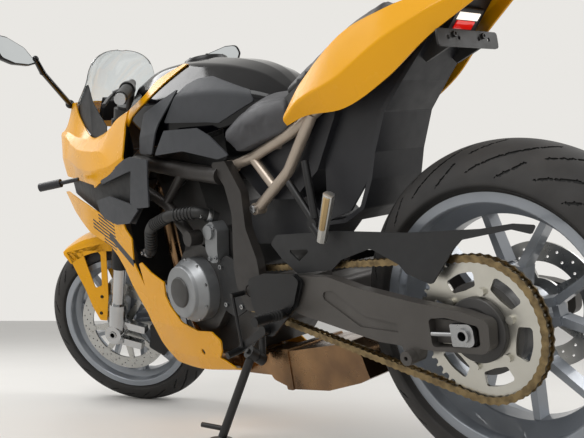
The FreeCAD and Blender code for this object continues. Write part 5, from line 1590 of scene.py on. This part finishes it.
@dataclass
class Fittings:
    """Hose rings and clamps, pegs and rubbers, and the pump around the engine and the footrests."""

    hose: tuple[Point, ...] = ((1012, 150, 520), (940, 178, 588), (830, 178, 606), (756, 140, 602))
    rib_pitch: float = 9.5

    def hose_ribs(self) -> Object:
        """The rings of the corrugated coolant hose, on its straight runs.

        Returns:
            The piece.
        """
        mesh = bmesh.new()
        for start, end in zip(self.hose, self.hose[1:]):
            run = Vector(end) - Vector(start)
            count = int(run.length * 0.72 / self.rib_pitch)
            for i in range(count):
                middle = Vector(start) + run * (0.14 + 0.72 * (i + 0.5) / count)
                half = run.normalized() * 2.3
                add_tube(mesh, middle - half, middle + half, 17.2, bevel=1.0)
        return on_chassis("coolant_hose_ribs", mesh, Palette.HOSE_RUBBER)

    def hose_clamps(self) -> Object:
        """A steel band with its screw near each end of the hose.

        Returns:
            The piece.
        """
        mesh = bmesh.new()
        for start, end in (((1027, 150, 520), (1018, 150, 520)), ((750, 119, 591), (746, 108, 586))):
            add_tube(mesh, start, end, 17.4, bevel=0.6)
            add_bolt(mesh, (start[0] - 3, start[1] + 19, start[2]), (0, 1, 0), 5.0, 5.0)
        return on_chassis("hose_clamps", mesh, Palette.TURNED_STEEL)

    def peg_rubbers(self) -> None:
        """The passenger's alloy pegs with tan inserts, and the ribbed sleeves on the rider's pegs."""
        start, end = Vector((300, 158, 500)), Vector((240, 176, 584))
        outwards = Vector((-4.5, 7.5, 0))
        for name, low, high, shift, radius, sides, finish in (
                ("passenger_pegs", -0.05, 1.0, 0.0, 12.0, 8, Palette.SATIN_ALLOY),
                ("passenger_peg_inserts", 0.22, 0.93, 1.0, 7.5, 6, Palette.TAN_RUBBER)):
            mesh = bmesh.new()
            add_tube(mesh, start.lerp(end, low) + outwards * shift, start.lerp(end, high) + outwards * shift,
                     radius * 0.86, radius, sides, 1.2)
            both_sides(mesh)
            CHASSIS.place(mesh)
            finished(name, mesh, finish, "chassis")
        mesh = bmesh.new()
        for i in range(8):
            add_tube(mesh, (445, 180 + i * 8, 352), (445, 186 + i * 8, 352), 12.0, bevel=1.2)
        both_sides(mesh)
        on_chassis("rider_peg_sleeves", mesh, Palette.GRIP_RUBBER)

    def pump(self) -> Object:
        """The coolant pump's cast body with its bolts, ahead of the sprocket cover.

        Returns:
            The piece.
        """
        mesh = bmesh.new()
        add_prism(mesh, ((748, 470, 10), (764, 505, 12), (752, 566, 14), (718, 574, 12), (700, 548, 10),
                         (712, 505, 12), (718, 470, 10)), 96.0, 132.0)
        add_tube(mesh, (733, 130, 548), (733, 140, 548), 19.0, bevel=1.5)
        soften_rims(mesh, 2.5)
        for x, z in ((748, 482), (722, 482), (750, 556), (712, 556)):
            add_bolt(mesh, (x, 132, z), (0, 1, 0), 5.0, 5.0)
        return on_chassis("pump_body", mesh, Palette.SILVER_CASTING)

    def build(self) -> None:
        """Builds every fitting."""
        self.hose_ribs()
        self.hose_clamps()
        self.peg_rubbers()
        self.pump()


@dataclass
class Mudguard:
    """The front mudguard: an arch over the tyre with a forked leg beside each fork leg."""

    half: float = 76.7
    sheet: float = 3.0
    turn_from: float = 68.0
    turn_to: float = 156.0

    def build(self) -> Object:
        """Spins the arch and trims the legs.

        Returns:
            The piece.
        """
        mesh = bmesh.new()
        outer = ((self.half, 268), (self.half, 306), (70, 316), (42, 323), (0, 328))
        outer = outer + tuple((-y, r) for y, r in outer[-2::-1])
        ring = [Vector((r, y, 0)) for y, r in outer]
        ring += [Vector((r - self.sheet * (1 if 260 < r and abs(y) < self.half else 0),
                         y * (self.half - self.sheet) / self.half, 0)) for y, r in reversed(outer)]
        verts = [mesh.verts.new(place) for place in ring]
        edges = [mesh.edges.new((a, b)) for a, b in zip(verts, verts[1:] + verts[:1])]
        face = bmesh.ops.contextual_create(mesh, geom=edges)["faces"]
        bmesh.ops.rotate(mesh, verts=verts, cent=(0, 0, 0),
                         matrix=Matrix.Rotation(-math.radians(self.turn_from), 3, "Y"))
        bmesh.ops.spin(mesh, geom=verts + edges + face, cent=(0, 0, 0), axis=(0, -1, 0),
                       angle=math.radians(self.turn_to - self.turn_from), steps=36)
        legs = bmesh.new()
        add_prism(legs, ((101, 290, 0), (97, 262, 10), (83, 154, 40), (80, 87, 20), (71, 40, 5), (47, 33, 5),
                         (8, 112, 20), (-46, 262, 20), (-50, 290, 0)), self.half - self.sheet, self.half)
        window = bmesh.new()
        add_prism(window, ((42, 276, 8), (29, 281, 6), (-13, 273, 10), (-22, 256, 10), (16, 155, 6), (44, 151, 6),
                           (43, 231, 60)), self.half - 9, self.half + 9)
        legs = trim(legs, window, False)
        both_sides(legs)
        data = bpy.data.meshes.new("legs")
        legs.to_mesh(data)
        legs.free()
        mesh.from_mesh(data)
        bmesh.ops.translate(mesh, verts=mesh.verts, vec=(WHEELBASE, 0, FRONT_RADIUS))
        STEERED.place(mesh)
        piece = finished("front_mudguard_shell", mesh, Palette.YELLOW_PANEL, "steering", 40.0)
        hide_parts("front_mudguard")
        return piece


@dataclass
class Seats:
    """The rider's and the passenger's pads."""

    def build(self) -> None:
        """Builds both pads."""
        Cushion("rider_seat", "rider_seat_pad", Palette.SEAT_VINYL,
                ((352, 812, 738, 132), (400, 824, 724, 142), (460, 830, 712, 148), (530, 818, 706, 152),
                 (604, 792, 706, 154)),
                ((596, 800, 6), (597, 769, 10), (560, 715, 14), (526, 717, 20), (399, 730, 20), (368, 745, 10),
                 (392, 860, 0), (560, 860, 0)),
                (lambda p: p.z - (806 - 0.00035 * (p.x - 470) ** 2),), cap_mm=5.0).build()
        Cushion("passenger_seat", "passenger_seat_pad", Palette.SEAT_VINYL_SMOOTH,
                ((128, 930, 888, 82), (220, 908, 866, 100), (310, 872, 828, 116), (391, 838, 800, 122)),
                seams=(lambda p: abs(p.y) - 70,), cap_mm=5.0).build()


@dataclass
class Bodywork:
    """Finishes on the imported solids."""

    def dress(self) -> None:
        """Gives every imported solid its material."""
        for name, thing in frame["nodes"].items():
            finish = NODE_FINISHES.get(name, Palette.MATT_PLASTIC)
            thing.data.materials.clear()
            thing.data.materials.append(finish.material)


# Studio

@dataclass
class Studio:
    """A pale floor, soft light and the camera that the photograph was taken with."""

    camera_at: Point = (-687.0, 1060.45, 558.3)
    camera_ahead: Point = (0.76349, -0.64578, -0.00706)
    camera_up: Point = (-0.10125, -0.13049, 0.98627)
    lens_mm: float = 41.68
    floor_half_m: float = 14.0
    backdrop: str = "#E9E7E3"

    def background(self) -> None:
        """A white surround that lights evenly, and that the camera and reflections see as pale."""
        world = bpy.data.worlds.new("studio")
        bpy.context.scene.world = world
        world.use_nodes = True
        tree = world.node_tree
        tree.nodes.clear()
        path = add_node(tree, "LightPath")
        direct = add_node(tree, "Math", {"operation": "MAXIMUM"},
                          {0: path.outputs["Is Camera Ray"], 1: path.outputs["Is Transmission Ray"]})
        seen = add_node(tree, "Math", {"operation": "MAXIMUM"},
                        {0: direct.outputs[0], 1: path.outputs["Is Glossy Ray"]})
        glow = add_node(tree, "Background", {"Color": (1, 1, 1, 1), "Strength": 0.5})
        seen_glow = add_node(tree, "Background", {"Color": linear(self.backdrop), "Strength": 1.0})
        mix = add_node(tree, "MixShader", {}, {0: seen.outputs[0], 1: glow.outputs[0], 2: seen_glow.outputs[0]})
        add_node(tree, "OutputWorld", {}, {"Surface": mix.outputs[0]})

    def floor(self) -> None:
        """A broad pale floor at Z 0."""
        mesh = bmesh.new()
        bmesh.ops.create_grid(mesh, x_segments=1, y_segments=1, size=self.floor_half_m)
        data = bpy.data.meshes.new("floor")
        mesh.to_mesh(data)
        mesh.free()
        thing = bpy.data.objects.new("floor", data)
        bpy.context.scene.collection.objects.link(thing)
        finish = Finish("matt_screed_floor", "#DEDCD8", "#DAD8D4", 0.5, rough_spread=0.03, patch_mm=900.0)
        data.materials.append(finish.build())

    def lamp(self, name: str, at: Point, aim: Point, size: float, power: float) -> None:
        """A square soft light.

        Args:
            name: the lamp's name.
            at: its place in metres.
            aim: what it points at.
            size: its side in metres.
            power: its power in watts.
        """
        data = bpy.data.lights.new(name, "AREA")
        data.energy = power
        data.size = size
        thing = bpy.data.objects.new(name, data)
        thing.location = at
        thing.rotation_mode = "QUATERNION"
        thing.rotation_quaternion = (Vector(aim) - Vector(at)).to_track_quat("-Z", "Y")
        bpy.context.scene.collection.objects.link(thing)

    def camera(self) -> None:
        """The camera where the photographer held it."""
        data = bpy.data.cameras.new("camera")
        data.sensor_width = 36.0
        data.lens = self.lens_mm
        data.clip_start = 0.01
        thing = bpy.data.objects.new("camera", data)
        ahead = CHASSIS.direction(self.camera_ahead)
        up = CHASSIS.direction(self.camera_up)
        right = ahead.cross(up).normalized()
        turn = Matrix((right, right.cross(ahead), -ahead)).transposed().to_4x4()
        thing.matrix_world = Matrix.Translation(CHASSIS.point(self.camera_at)) @ turn
        bpy.context.scene.collection.objects.link(thing)
        bpy.context.scene.camera = thing

    def build(self) -> None:
        """Sets up the whole studio."""
        self.background()
        self.floor()
        self.lamp("ceiling_left", (-1.0, 2.6, 3.4), (0.1, 0.0, 0.5), 2.4, 85.0)
        self.lamp("ceiling_front", (2.6, 1.2, 3.0), (0.3, 0.0, 0.5), 1.8, 60.0)
        self.lamp("ceiling_back", (-1.6, -2.4, 3.0), (0.0, 0.0, 0.5), 2.0, 50.0)
        self.camera()
        bpy.context.scene.view_settings.view_transform = "Standard"


def main() -> None:
    """Builds the machine's sub-assemblies in order."""
    logging.basicConfig(level=logging.INFO, format="%(name)s %(message)s")
    Bodywork().dress()
    Tank().build()
    Fairing().build()
    Tail().build()
    Mirrors().build()
    Mudguard().build()
    Wheels().build()
    Seats().build()
    Fastenings().build()
    Fittings().build()
    Studio().build()


if __name__ == "__main__":
    main()
